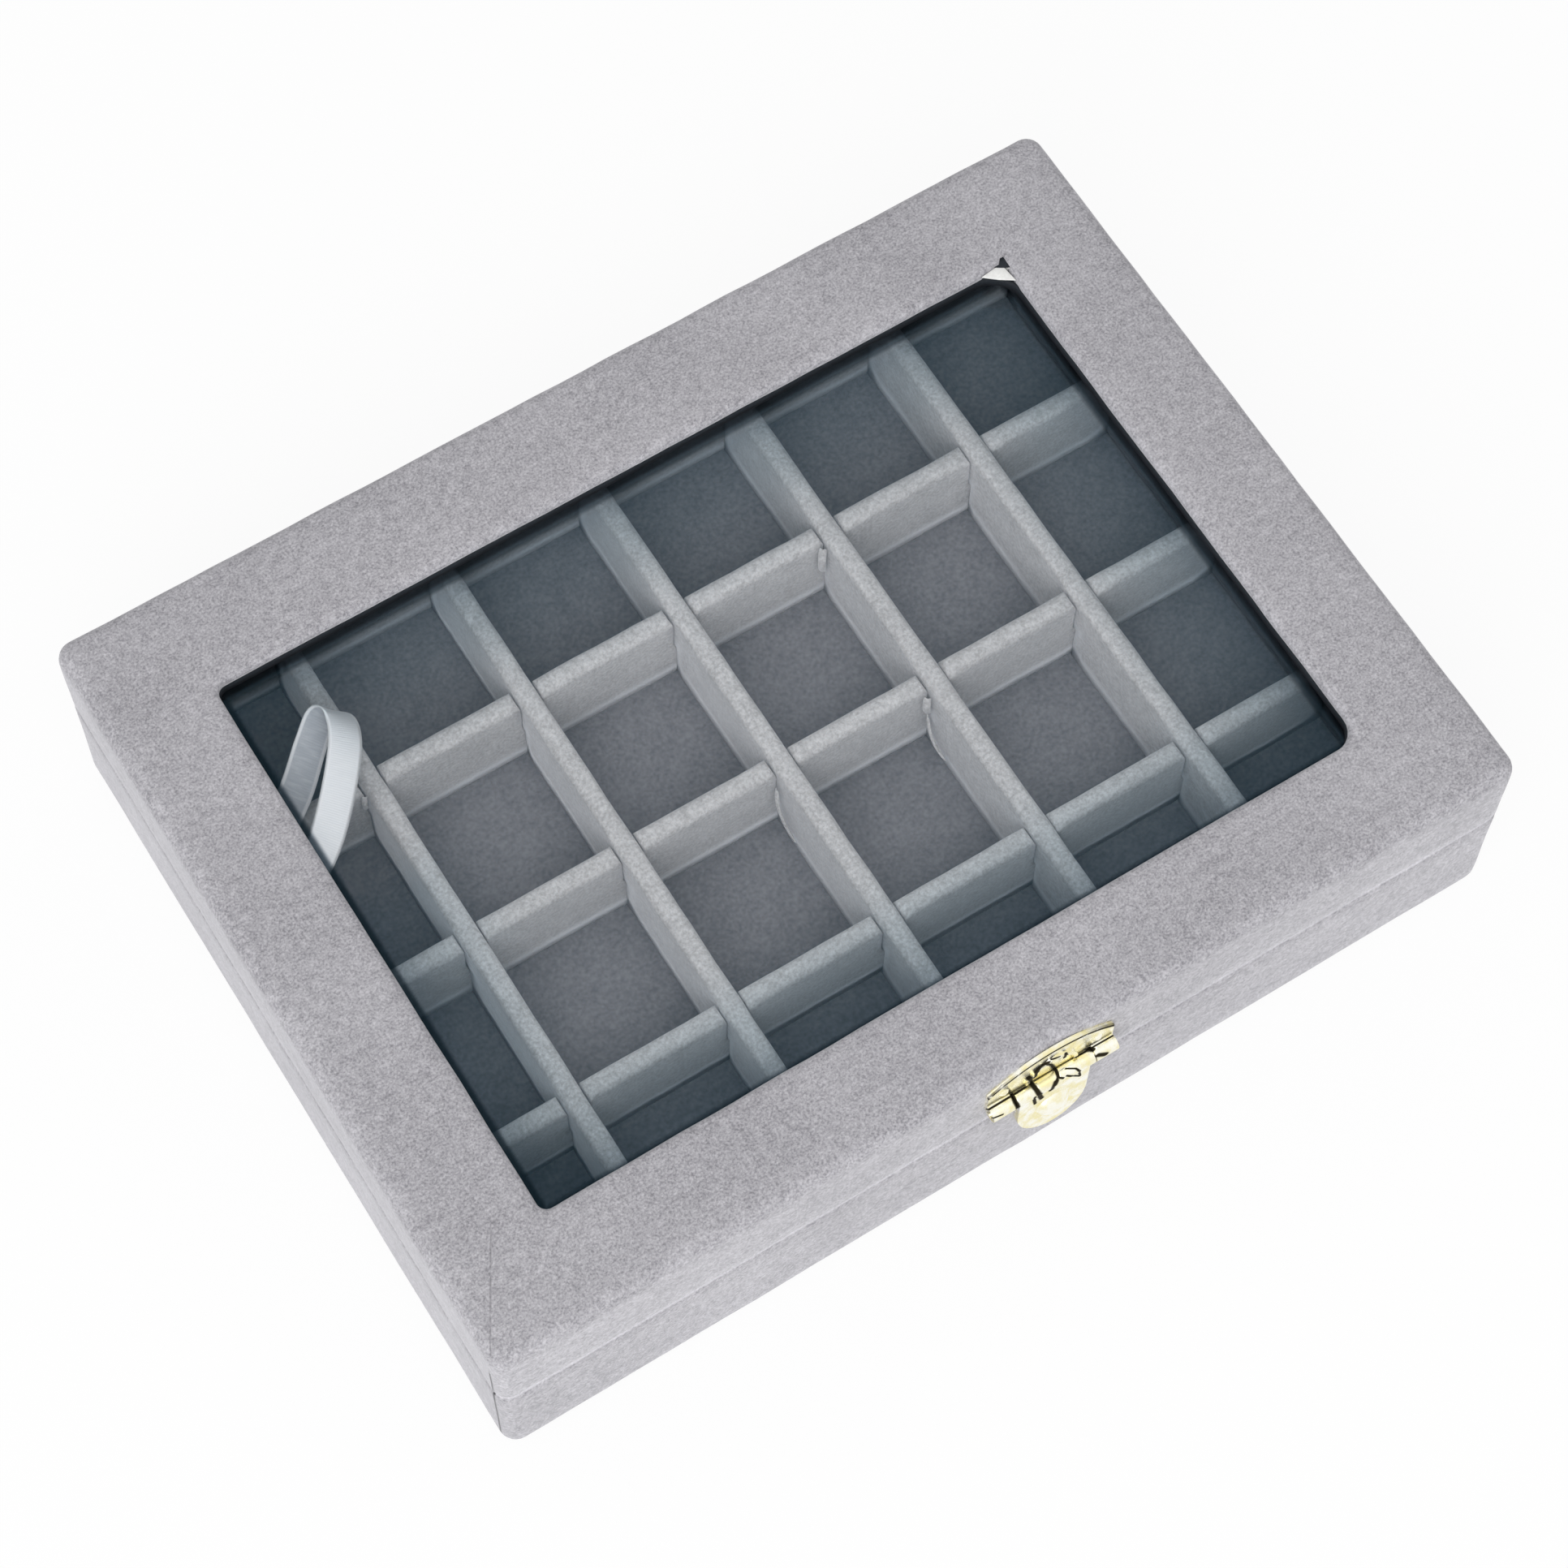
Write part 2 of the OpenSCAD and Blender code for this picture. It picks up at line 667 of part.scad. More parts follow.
// Ribbon: a thin strip swept along its own route
module stay_ribbon() {
    route = smooth(ribbon_points, ribbon_steps);
    across = smooth(ribbon_across, ribbon_steps);
    count = len(route);
    along = [for (i = [0:count - 1]) unit(pick(route, i + 1) - pick(route, i - 1))];
    side = [for (i = [0:count - 1]) unit(across[i] - (across[i] * along[i]) * along[i])];
    face = [for (i = [0:count - 1]) cross(along[i], side[i])];
    w = ribbon_w / 2;
    t = ribbon_t / 2;
    rings = [for (i = [0:count - 1])
        for (c = [[-w, -t], [w, -t], [w, t], [-w, t]])
            route[i] + c[0] * side[i] + c[1] * face[i]];
    faces = concat(
        [[0, 1, 2], [0, 2, 3]],
        [for (i = [0:count - 2])
            for (k = [0:3])
                for (f = [[i * 4 + k, i * 4 + 4 + k, i * 4 + 4 + (k + 1) % 4],
                    [i * 4 + k, i * 4 + 4 + (k + 1) % 4, i * 4 + (k + 1) % 4]])
                    f],
        [[4 * count - 2, 4 * count - 3, 4 * count - 4], [4 * count - 1, 4 * count - 2, 4 * count - 4]]);
    color(ribbon_white) polyhedron(rings, faces);
}

// Lid

module lid_panel() {
    color(board_grey)
        difference() {
            translate([0, 0, panel_z])
                round_top_block(core_w, core_d, board_t, core_r, top_edge_r - velvet_t);
            translate([0, -window_shift, panel_z - cut]) linear_extrude(board_t + 2 * cut)
                round_rect(window_w + 2 * velvet_t, window_d + 2 * velvet_t, window_r + velvet_t);
        }
}

module lid_front_wall() {
    color(board_grey)
        difference() {
            long_wall(-1, lid_rim, panel_z - lid_rim);
            wall_nail_holes([for (s = [-1, 1]) [hasp_x + s * hasp_nail_x, -core_d / 2, lid_nail_z]]);
        }
}

module lid_back_wall() {
    color(board_grey)
        difference() {
            long_wall(1, lid_rim, panel_z - lid_rim);
            wall_nail_holes([for (h = [-1, 1]) for (s = [-1, 1])
                [h * hinge_x + s * leaf_nail_x, core_d / 2, hinge_z + leaf_nail_z]]);
        }
}

module lid_left_wall() {
    color(board_grey) short_wall(-1, lid_rim, panel_z - lid_rim);
}

module lid_right_wall() {
    color(board_grey) short_wall(1, lid_rim, panel_z - lid_rim);
}

// Velvet round the lid, over its rim and turned down into the window
module lid_velvet() {
    color(velvet_grey)
        difference() {
            translate([0, 0, lid_z])
                round_top_block(box_w, box_d, lid_h, corner_r, top_edge_r);
            translate([0, 0, lid_rim]) linear_extrude(panel_z - lid_rim)
                round_rect(core_w, core_d, core_r);
            difference() {
                translate([0, 0, panel_z])
                    round_top_block(core_w, core_d, board_t, core_r, top_edge_r - velvet_t);
                translate([0, -window_shift, panel_z]) linear_extrude(board_t)
                    round_rect(window_w + 2 * velvet_t, window_d + 2 * velvet_t,
                        window_r + velvet_t);
            }
            translate([0, 0, lid_z - cut]) linear_extrude(velvet_t + 2 * cut)
                square([in_w, in_d], center = true);
            translate([0, -window_shift, panel_z - cut])
                linear_extrude(board_t + velvet_t + 2 * cut)
                    round_rect(window_w, window_d, window_r);
            wall_nail_holes([for (s = [-1, 1]) [hasp_x + s * hasp_nail_x, -core_d / 2, lid_nail_z]]);
            wall_nail_holes([for (h = [-1, 1]) for (s = [-1, 1])
                [h * hinge_x + s * leaf_nail_x, core_d / 2, hinge_z + leaf_nail_z]]);
        }
}

module window_glass() {
    color(glass_tint)
        translate([0, -window_shift, glass_z]) linear_extrude(glass_t)
            round_rect(glass_w, glass_d, 1);
}

// Board frame of the glass's own thickness, round its edge
module glass_spacer() {
    color(board_grey)
        translate([0, 0, glass_z]) linear_extrude(glass_t)
            difference() {
                square([in_w, in_d], center = true);
                translate([0, -window_shift])
                    round_rect(glass_w + 2 * soft_gap, glass_d + 2 * soft_gap, 1);
            }
}

// Covered card frame that closes the lid inside and holds the glass up
module lid_lining_frame() {
    color(inner_grey)
        translate([0, 0, lining_z]) linear_extrude(lining_t)
            difference() {
                square([in_w - 2 * soft_gap, in_d - 2 * soft_gap], center = true);
                translate([0, -window_shift])
                    round_rect(window_w + 2 * lining_step, window_d + 2 * lining_step, window_r);
            }
}

module lid_long_liner(side) {
    color(inner_grey)
        translate([-in_w / 2 + liner_gap, side * (in_d / 2 - liner_gap - lid_liner_t / 2)
            - lid_liner_t / 2, lid_liner_z])
            cube([in_w - 2 * liner_gap, lid_liner_t, lid_liner_top - lid_liner_z]);
}

module lid_short_liner(side) {
    span = in_d - 2 * (liner_gap + lid_liner_t + soft_gap);
    color(inner_grey)
        translate([side * (in_w / 2 - liner_gap - lid_liner_t / 2) - lid_liner_t / 2, -span / 2,
            lid_liner_z])
            cube([lid_liner_t, span, lid_liner_top - lid_liner_z]);
}

module lid_front_liner() { lid_long_liner(-1); }
module lid_back_liner() { lid_long_liner(1); }
module lid_right_liner() { lid_short_liner(1); }

// The left liner is notched where the ribbon goes in behind it
module lid_left_liner() {
    color(inner_grey)
        difference() {
            lid_short_liner(-1);
            translate([-in_w / 2, ribbon_lid_y - ribbon_w / 2 - notch_gap, lid_liner_top - notch_h])
                cube([liner_gap + lid_liner_t + cut, ribbon_w + 2 * notch_gap, notch_h + cut]);
        }
}

bottom_sheet();
base_floor_board();
base_front_wall();
base_back_wall();
base_left_wall();
base_right_wall();
base_velvet();
floor_pad();
base_front_liner();
base_back_liner();
base_left_liner();
base_right_liner();
long_divider(1);  // long_divider_1
long_divider(2);  // long_divider_2
long_divider(3);  // long_divider_3
long_divider(4);  // long_divider_4
long_divider(5);  // long_divider_5
cross_divider(1);  // cross_divider_1
cross_divider(2);  // cross_divider_2
cross_divider(3);  // cross_divider_3
left_hinge_base_leaf();
right_hinge_base_leaf();
left_hinge_pin();
right_hinge_pin();
hinge_base_nails();
hasp_base_plate();
hasp_base_nails();
stay_ribbon();
lid_panel();
lid_front_wall();
lid_back_wall();
lid_left_wall();
lid_right_wall();
lid_velvet();
window_glass();
glass_spacer();
lid_lining_frame();
lid_front_liner();
lid_back_liner();
lid_left_liner();
lid_right_liner();
left_hinge_lid_leaf();
right_hinge_lid_leaf();
hinge_lid_nails();
hasp_lid_plate();
hasp_pin();
hasp_lid_nails();
hasp_flap();
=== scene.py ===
# %% [markdown]
# A velvet ring display box with a glass lid, dressed for a studio picture. This script adds what
# a hard model can't show: pile, padding, a satin ribbon and stamped brass.

# %% Load the frame
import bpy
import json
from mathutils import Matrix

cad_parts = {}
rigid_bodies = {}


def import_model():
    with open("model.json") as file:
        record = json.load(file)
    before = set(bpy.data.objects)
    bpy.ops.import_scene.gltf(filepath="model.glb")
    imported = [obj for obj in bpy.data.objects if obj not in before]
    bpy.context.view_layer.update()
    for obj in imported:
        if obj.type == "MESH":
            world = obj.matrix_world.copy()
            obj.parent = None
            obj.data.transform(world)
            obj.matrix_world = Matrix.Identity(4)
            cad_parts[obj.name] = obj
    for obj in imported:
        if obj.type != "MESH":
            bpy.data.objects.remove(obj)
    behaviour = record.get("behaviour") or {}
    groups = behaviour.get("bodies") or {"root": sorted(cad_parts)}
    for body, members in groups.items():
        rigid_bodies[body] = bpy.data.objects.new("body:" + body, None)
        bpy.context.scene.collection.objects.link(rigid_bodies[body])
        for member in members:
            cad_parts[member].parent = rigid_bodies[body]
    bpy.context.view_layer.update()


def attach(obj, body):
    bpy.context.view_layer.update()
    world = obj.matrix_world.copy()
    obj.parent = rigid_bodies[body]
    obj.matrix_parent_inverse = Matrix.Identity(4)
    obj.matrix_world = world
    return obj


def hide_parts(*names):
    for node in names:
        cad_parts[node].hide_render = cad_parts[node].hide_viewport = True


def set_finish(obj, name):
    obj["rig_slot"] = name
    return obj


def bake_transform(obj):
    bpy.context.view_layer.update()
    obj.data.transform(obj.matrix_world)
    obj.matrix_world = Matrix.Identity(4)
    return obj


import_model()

import json
import math
import bmesh
import bpy
from mathutils import Matrix, Vector, noise

# %% [markdown]
# The main sizes are those of the hard model, in millimetres. Blender works in metres, so a length
# is multiplied by MM where it meets a mesh. The box stands on the floor with its middle at 0 and
# its front at the low side of Y. The seam between base and lid has its height here, and so have
# the padded strips in the base. The window's middle lies 1 mm nearer to the front than the box's,
# and the hasp sits 5 mm right of the middle, with its pin just before the front wall.

# %% Sizes
MM = 0.001
BOX_WIDE, BOX_DEEP, SEAM = 200, 150, 26.1
WINDOW_WIDE, WINDOW_DEEP, WINDOW_Y = 160, 109.5, -1
STRIP_LOW, STRIP_HIGH = 4.5, 24.0
HASP_X, HASP_PIN_Y = 5, -76.6
print("box", BOX_WIDE, "by", BOX_DEEP, "mm, window", WINDOW_WIDE, "by", WINDOW_DEEP, "mm")

# %% [markdown]
# The camera comes first, because everything else is judged through it.
# It stands high above the front left corner of the box, with a long lens, so that the box's
# parallel edges stay nearly parallel. Its place and turn were fitted to the picture's corners.

# %% Camera
camera_data = bpy.data.cameras.new("studio_camera")
camera_data.sensor_width = 36
camera_data.lens = 93.12
camera = bpy.data.objects.new("studio_camera", camera_data)
bpy.context.scene.collection.objects.link(camera)
camera.location = (-0.16177, -0.24976, 0.66367)
camera.rotation_euler = [math.radians(turn) for turn in (24.5838, -0.5031, -31.9316)]
bpy.context.scene.camera = camera
print("camera at", tuple(round(value, 3) for value in camera.location))

# %% [markdown]
# Shader maths is easier to read as sums than as rows of nodes.
# A Wire wraps one socket: adding or multiplying two wires makes the Math node that does it.

# %% Sums of sockets
class Wire:
    """One socket of a material that can be written in sums."""

    def __init__(self, finish, socket):
        self.finish, self.socket = finish, socket

    def math(self, operation, *others):
        return self.finish.node("ShaderNodeMath", {"operation": operation}, [self, *others])

    def __add__(self, other):
        return self.math("ADD", other)

    def __sub__(self, other):
        return self.math("SUBTRACT", other)

    def __mul__(self, other):
        return self.math("MULTIPLY", other)

    def __abs__(self):
        return self.math("ABSOLUTE")

    def __rsub__(self, other):
        return self.finish.node("ShaderNodeMath", {"operation": "SUBTRACT"}, [other, self])

    __radd__ = __add__
    __rmul__ = __mul__

    def root(self):
        return self.math("SQRT")

    def least(self, other):
        return self.math("MINIMUM", other)

    def most(self, other):
        return self.math("MAXIMUM", other)

    def fade(self, low, high, start=0, end=1):
        """Runs smoothly from start to end while this value goes from low to high."""
        return self.finish.node("ShaderNodeMapRange", {"interpolation_type": "SMOOTHSTEP"},
                                {"Value": self, "From Min": low, "From Max": high,
                                 "To Min": start, "To Max": end})


print("sums of sockets ready")

# %% [markdown]
# A Finish holds the nodes of a material, or of the world, while they are put together. Every node
# comes from one method, which sets the node up first and then feeds its sockets. The other methods
# are the few things that the materials here share: object coordinates, noise, a colour between
# two others, a bump, a mask for kinds of ray, and an end.

# %% Materials under construction
class Finish:
    """The nodes of a material or of the world, under construction."""

    def __init__(self, owner, end="ShaderNodeOutputMaterial"):
        self.owner = owner
        owner.use_nodes = True
        self.tree = owner.node_tree
        self.tree.nodes.clear()
        self.end = self.tree.nodes.new(end)

    def node(self, kind, settings=None, inputs=(), output=0):
        made = self.tree.nodes.new(kind)
        for key, value in (settings or {}).items():
            setattr(made, key, value)
        for key, value in inputs.items() if isinstance(inputs, dict) else enumerate(inputs):
            if isinstance(value, Wire):
                self.tree.links.new(value.socket, made.inputs[key])
            else:
                made.inputs[key].default_value = value
        return Wire(self, made.outputs[output])

    def parts(self, vector):
        """The three numbers of a vector, each as a wire."""
        split = self.node("ShaderNodeSeparateXYZ", None, [vector])
        return [Wire(self, socket) for socket in split.socket.node.outputs]

    def place(self):
        """Object coordinates in millimetres, as three wires and the vector itself."""
        spot = self.node("ShaderNodeTexCoord", output="Object")
        large = self.node("ShaderNodeVectorMath", {"operation": "SCALE"},
                          {"Vector": spot, "Scale": 1 / MM})
        return (*self.parts(large), large)

    def speckle(self, vector, size, detail=2.0, roughness=0.55):
        """Noise whose grains are about size millimetres across."""
        return self.node("ShaderNodeTexNoise", None,
                         {"Vector": vector, "Scale": 1 / size, "Detail": detail,
                          "Roughness": roughness})

    def mix(self, amount, low, high):
        """From one colour to another."""
        low, high = [value if isinstance(value, Wire) else (*value, 1) for value in (low, high)]
        return self.node("ShaderNodeMix", {"data_type": "RGBA"}, {0: amount, 6: low, 7: high}, 2)

    def bump(self, height, strength, distance):
        return self.node("ShaderNodeBump", None,
                         {"Height": height, "Strength": strength, "Distance": distance * MM})

    def seen_by(self, *rays):
        """Mask that is 1 for the named kinds of ray."""
        mask = 0
        for ray in rays:
            mask = self.node("ShaderNodeLightPath", output=ray).most(mask)
        return mask

    def surface(self, shader):
        """Ends in this shader."""
        self.tree.links.new(shader.socket, self.end.inputs["Surface"])
        return self.owner

    def done(self, **inputs):
        """Ends in one Principled shader."""
        fixed = {key.replace("_", " "): value for key, value in inputs.items()}
        return self.surface(self.node("ShaderNodeBsdfPrincipled", None, fixed))


print("material helpers ready")

# %% [markdown]
# The box's cloth shows its making in three places. At the seam it rolls over the boards' edges, and a
# paler line along the fold is a painted highlight. At the front left corner its two sides meet in a
# mitre, a thin dark line, and a faint crease crosses the lid there, bumped and darkened with painted
# shade. Cuts in the mesh would be heavy for lines this thin, so they are masks: how far a point lies
# from the line, made thin by a fade. More fades end the lines where they end on the box, and the tufts
# of the pile make the crease uneven.

# %% Seam, mitre and crease
MITRE_Y = -72.3


def seam_mitre_crease(x, y, z, tufts):
    """Three masks for the cloth outside, each 1 along its line."""
    # The seam's mask paints a paler highlight along the fold, and the crease's mask adds painted
    # shade.
    seam_highlight = abs(z - SEAM).fade(0.3, 0.75, 1, 0)
    mitre = abs(y - MITRE_Y).fade(0.12, 0.34, 1, 0) * x.fade(-99.1, -99.5) * z.fade(37.6, 36.8)
    off_crease = y * 0.5075 - x * 0.8616 - 48.9
    crease = abs(off_crease + (tufts - 0.5) * 0.4).fade(0.04, 0.22, 1, 0)
    crease = crease * z.fade(43.5, 44.5) * y.fade(-75, -72) * y.fade(-57, -51, 1, 0)
    crease = crease * x.fade(-80, -84) * tufts.fade(0.38, 0.55)
    return seam_highlight, mitre, crease


print("marks of the cloth ready")

# %% [markdown]
# Velvet is a short, dense pile. From above the eye looks down between the fibres, which is dark,
# and along a wall it sees their lit sides, which is pale: that is what Sheen gives. Hair could
# grow it, but a million fibres a tenth of a millimetre thick wouldn't show from here.
# The fine grain comes from noise with grains under a millimetre, and a slow noise shows where
# a hand has brushed the pile one way or the other.

# %% Velvet
def velvet(name, dark, light, grain=0.65, depth=1.15, sheen=1.0, marked=False):
    finish = Finish(bpy.data.materials.new(name))
    x, y, z, spot = finish.place()
    fine = finish.speckle(spot, grain, 4, 0.75)
    tufts = finish.speckle(spot, grain * 4, 3, 0.6)
    brushed = finish.speckle(spot, 24, 2, 0.5)
    pile = (fine - 0.5) * 2.2 * depth + (tufts - 0.5) * 0.8 * depth + (brushed - 0.5) * 0.45 + 0.5
    colour = finish.mix(pile.most(0).least(1), dark, light)
    height = fine + tufts * 0.6
    if marked:
        seam_highlight, mitre, crease = seam_mitre_crease(x, y, z, tufts)
        # The paler colour along the seam is a painted highlight. The darker colour is the mitre's own
        # dark joint and painted shade in the crease.
        seam_highlight_colour = tuple(min(1, value * 1.5) for value in light)
        joint_dark_and_crease_shade = tuple(value * 0.25 for value in dark)
        colour = finish.mix(seam_highlight * 0.45, colour, seam_highlight_colour)
        colour = finish.mix(mitre.most(crease * 0.35), colour, joint_dark_and_crease_shade)
        height = height - mitre * 4 - crease
    return finish.done(Base_Color=colour, Roughness=0.95, Specular_IOR_Level=0.15,
                       Sheen_Weight=sheen, Sheen_Roughness=0.4, Sheen_Tint=(0.97, 0.97, 1.0, 1),
                       Normal=finish.bump(height, 0.6, 0.1))


# The inside's velvet is lighter than the outside's, to stand in for light that doesn't reach down into
# the cells: painted light. The base's liners get a darker copy of it, painted shade for liners that
# stand in shadow. The floor's velvet is darker still.
outer_velvet = velvet("pile_outside", (0.222, 0.217, 0.236), (0.545, 0.534, 0.565),
                      grain=0.45, depth=1.1, sheen=0.5, marked=True)
inner_velvet = velvet("pile_inside_brightened", (0.478, 0.462, 0.46), (0.795, 0.776, 0.772))
pad_velvet = velvet("pile_on_the_floor", (0.217, 0.212, 0.227), (0.335, 0.328, 0.345),
                    grain=0.9, depth=1.2, sheen=0.3)
shaded_liner_velvet = velvet("pile_of_the_liners_shaded", (0.36, 0.35, 0.35), (0.62, 0.605, 0.60), sheen=0.6)
print("velvets:", outer_velvet.name, inner_velvet.name, pad_velvet.name, shaded_liner_velvet.name)

# %% [markdown]
# The boards under the cloth are white-lined card, seen only where the cloth leaves a corner bare.
# The cut edge inside the window is black paper, and the sheet under the box is grey paper.
# All three are pressed fibre, so one recipe serves: fine noise for fibres, slow noise for clouds.

# %% Card and paper
def card(name, dark, light, rough=0.85):
    finish = Finish(bpy.data.materials.new(name))
    *_, spot = finish.place()
    fibres = finish.speckle(spot, 0.5, 4, 0.7)
    cloudy = finish.speckle(spot, 9, 2, 0.5)
    colour = finish.mix((fibres * 0.6 + cloudy * 0.4).fade(0.3, 0.7), dark, light)
    return finish.done(Base_Color=colour, Roughness=rough, Specular_IOR_Level=0.3,
                       Normal=finish.bump(fibres, 0.25, 0.05))


white_card = card("white_card", (0.72, 0.72, 0.70), (0.86, 0.86, 0.85))
black_paper = card("black_paper", (0.006, 0.008, 0.012), (0.016, 0.02, 0.026), rough=0.7)
grey_paper = card("grey_paper", (0.13, 0.13, 0.14), (0.18, 0.18, 0.19))
print("card and paper:", white_card.name, black_paper.name, grey_paper.name)

# %% [markdown]
# The glass is clear sheet with a little green-blue in it. A refracting shader would hold back the
# lamps' light from the cells below, so the sheet is a Transparent shader, with a thin blue-green
# reflection laid over it by Fresnel. On dark places that veil shows as a tint. Seen from a low
# angle, where glass mirrors its surroundings, the reflection is nearly colourless.
# Near the window's edge the cells below are darkened by painted shade in the sheet: two darker
# Transparent shaders are mixed in there, over a broad band and over a narrow one, and fade out towards
# the middle. Right at the edge a third, darker one is painted shade along the window's rim. Round the
# ribbon's loop, which lies close under the glass, the painted shade is left out. The mix is what
# changes, and the colours stay plain.

# %% Glass
def sheet_glass(name, tint, broad_shade_tint, narrow_shade_tint, edge_shade_tint, unshaded_at):
    finish = Finish(bpy.data.materials.new(name))
    x, y, *_ = finish.place()

    def through(colour):
        return finish.node("ShaderNodeBsdfTransparent", None, {"Color": (*colour, 1)})

    def mirror(colour, roughness):
        return finish.node("ShaderNodeBsdfGlossy", None,
                           {"Color": (*colour, 1), "Roughness": roughness})

    def between(amount, one, two):
        return finish.node("ShaderNodeMixShader", None, [amount, one, two])

    inwards = (WINDOW_WIDE / 2 - abs(x)).least(WINDOW_DEEP / 2 - abs(y - WINDOW_Y))
    off_x, off_y = x - unshaded_at[0], y - unshaded_at[1]
    shade_share = (off_x * off_x + off_y * off_y).root().fade(15, 25)
    # These bands are painted shade over the cells near the lid's frame, left out round the ribbon's
    # loop.
    pane = between(inwards.fade(8, 25, 1, 0) * shade_share, through(tint), through(broad_shade_tint))
    pane = between(inwards.fade(1, 8, 1, 0) * shade_share, pane, through(narrow_shade_tint))
    pane = between(inwards.fade(0.9, 1.9, 1, 0), pane, through(edge_shade_tint))
    edge_on = finish.node("ShaderNodeFresnel", None, {"IOR": 1.45})
    veil = mirror((0.3, 0.68, 0.95), 0.03)
    colourless = mirror((0.9, 0.93, 0.95), 0.02)
    shine = between(edge_on.fade(0.045, 0.1), veil, colourless)
    return finish.surface(between(edge_on * 0.42, pane, shine))


window_glass = sheet_glass("tinted_glass", tint=(0.985, 0.99, 0.995),
                           broad_shade_tint=(0.915, 0.948, 0.965), narrow_shade_tint=(0.85, 0.895, 0.925),
                           edge_shade_tint=(0.3, 0.33, 0.36), unshaded_at=(-76, 27))
print("glass:", window_glass.name)

# %% [markdown]
# The hasp is thin brass, stamped and plated pale gold. The stamping leaves dark lines where the polish
# doesn't reach: a border along the arch, scrolls in the middle and leaf ribs on the flap. They are a
# few tenths of a millimetre deep, so they are drawn in the finish with a bump. A few more dark strokes
# are painted shade: the gaps beside the barrel's knuckles and the shade at the barrel's two ends.
# Each line is a stroke: the distance from a point of the plate to a short straight piece, made
# thin by a fade. The lines run on over the barrel, which stands out from the plate. Seen from the
# camera, a millimetre out looks like 1.86 mm down, and the strokes' height is counted that way.

# %% Strokes
DOWN_PER_OUT = 1.86


def stroke(x, height, start, end, width):
    """Mask that is 1 along the straight piece from start to end."""
    run = (end[0] - start[0], end[1] - start[1])
    square = run[0] ** 2 + run[1] ** 2
    along_x, along_height = run[0] / square, run[1] / square
    share = ((x - start[0]) * along_x + (height - start[1]) * along_height).most(0).least(1)
    across, up = x - start[0] - share * run[0], height - start[1] - share * run[1]
    return (across * across + up * up).root().fade(width * 0.35, width * 0.75, 1, 0)


def stamped_and_shade_lines(x, y, z, stain, lines, arch):
    """Mask of all the dark lines on a plate. Each line is its width and then its points."""
    x = x - HASP_X + (stain - 0.5) * 0.35
    height = z + (y - HASP_PIN_Y) * DOWN_PER_OUT
    marks = [stroke(x, height, start, end, width)
             for width, *points in lines for start, end in zip(points, points[1:])]
    if arch:
        middle, radius = 25.05, 18.35
        rise = z - middle
        border = abs((x * x + rise * rise).root() - radius).fade(0.22, 0.52, 1, 0)
        marks.append(border * stain.fade(0.36, 0.44))
    mask = marks[0]
    for mark in marks[1:]:
        mask = mask.most(mark)
    return mask * y.fade(-75.2, -75.6)


print("strokes ready")

# %% [markdown]
# Thin plating on brass is never even, so a slow noise takes the colour from nearly white to pale gold
# and roughens it there. A plate with lines gets its dark lines on top, the stamped ones and the
# painted shade.

# %% Brass
def brass(name, lines=(), arch=False):
    finish = Finish(bpy.data.materials.new(name))
    x, y, z, spot = finish.place()
    stain = finish.speckle(spot, 2.6, 3, 0.6)
    worn = stain.fade(0.35, 0.68)
    colour = finish.mix(worn, (0.98, 0.965, 0.86), (0.90, 0.82, 0.46))
    rough = 0.2 + worn * 0.12
    height = finish.speckle(spot, 0.35, 2, 0.6) * 0.12 + stain * 0.8
    if lines:
        mask = stamped_and_shade_lines(x, y, z, stain, lines, arch)
        colour = finish.mix(mask, colour, (0.03, 0.025, 0.015))
        rough = rough + mask * 0.5
        height = height - mask * 2
    return finish.done(Base_Color=colour, Metallic=1.0, Roughness=rough,
                       Normal=finish.bump(height, 0.4, 0.14))


plain_brass = brass("plain_brass")
print("brass:", plain_brass.name)

# %% [markdown]
# The dark lines are the same on plate and flap where they run across both. Each is a width and a row
# of points, in millimetres: left or right of the hasp's middle, and height. Most are stamped, and the
# knuckle gaps and the shade at the barrel's ends are painted shade.

# %% Stamped plates
scroll_left = (0.9, (-1.1, 41.5), (-1.9, 41.7), (-2.7, 41.5), (-3.2, 40.5), (-3.1, 37.6))
scroll_right = (0.6, (-1.6, 41.6), (0.0, 38.8), (0.9, 35.9), (0.75, 34.3), (0.6, 33.1), (0.0, 32.0))
scroll_end = (1.1, (0.0, 32.0), (-0.7, 30.4), (-0.65, 29.0))
rib_left = (0.9, (-4.7, 39.9), (-3.9, 36.6), (-3.8, 33.7), (-3.6, 31.2), (-2.5, 27.4))
rib_short = (0.6, (-4.4, 30.7), (-3.7, 26.5))
buckle = (0.45, (2.4, 34.2), (3.9, 32.4), (4.8, 29.4), (5.2, 27.2), (2.0, 31.8))
# Painted shade: the gaps beside the barrel's knuckles, and a shadow at its right end.
knuckle_gap_shade_left = (0.8, (-7.7, 35.8), (-7.9, 33.2), (-7.75, 30.6), (-7.6, 28.0))
knuckle_gap_shade_right = (1.1, (7.5, 36.1), (8.0, 35.0))
end_shade_right = (1.1, (8.4, 32.4), (9.7, 31.2))
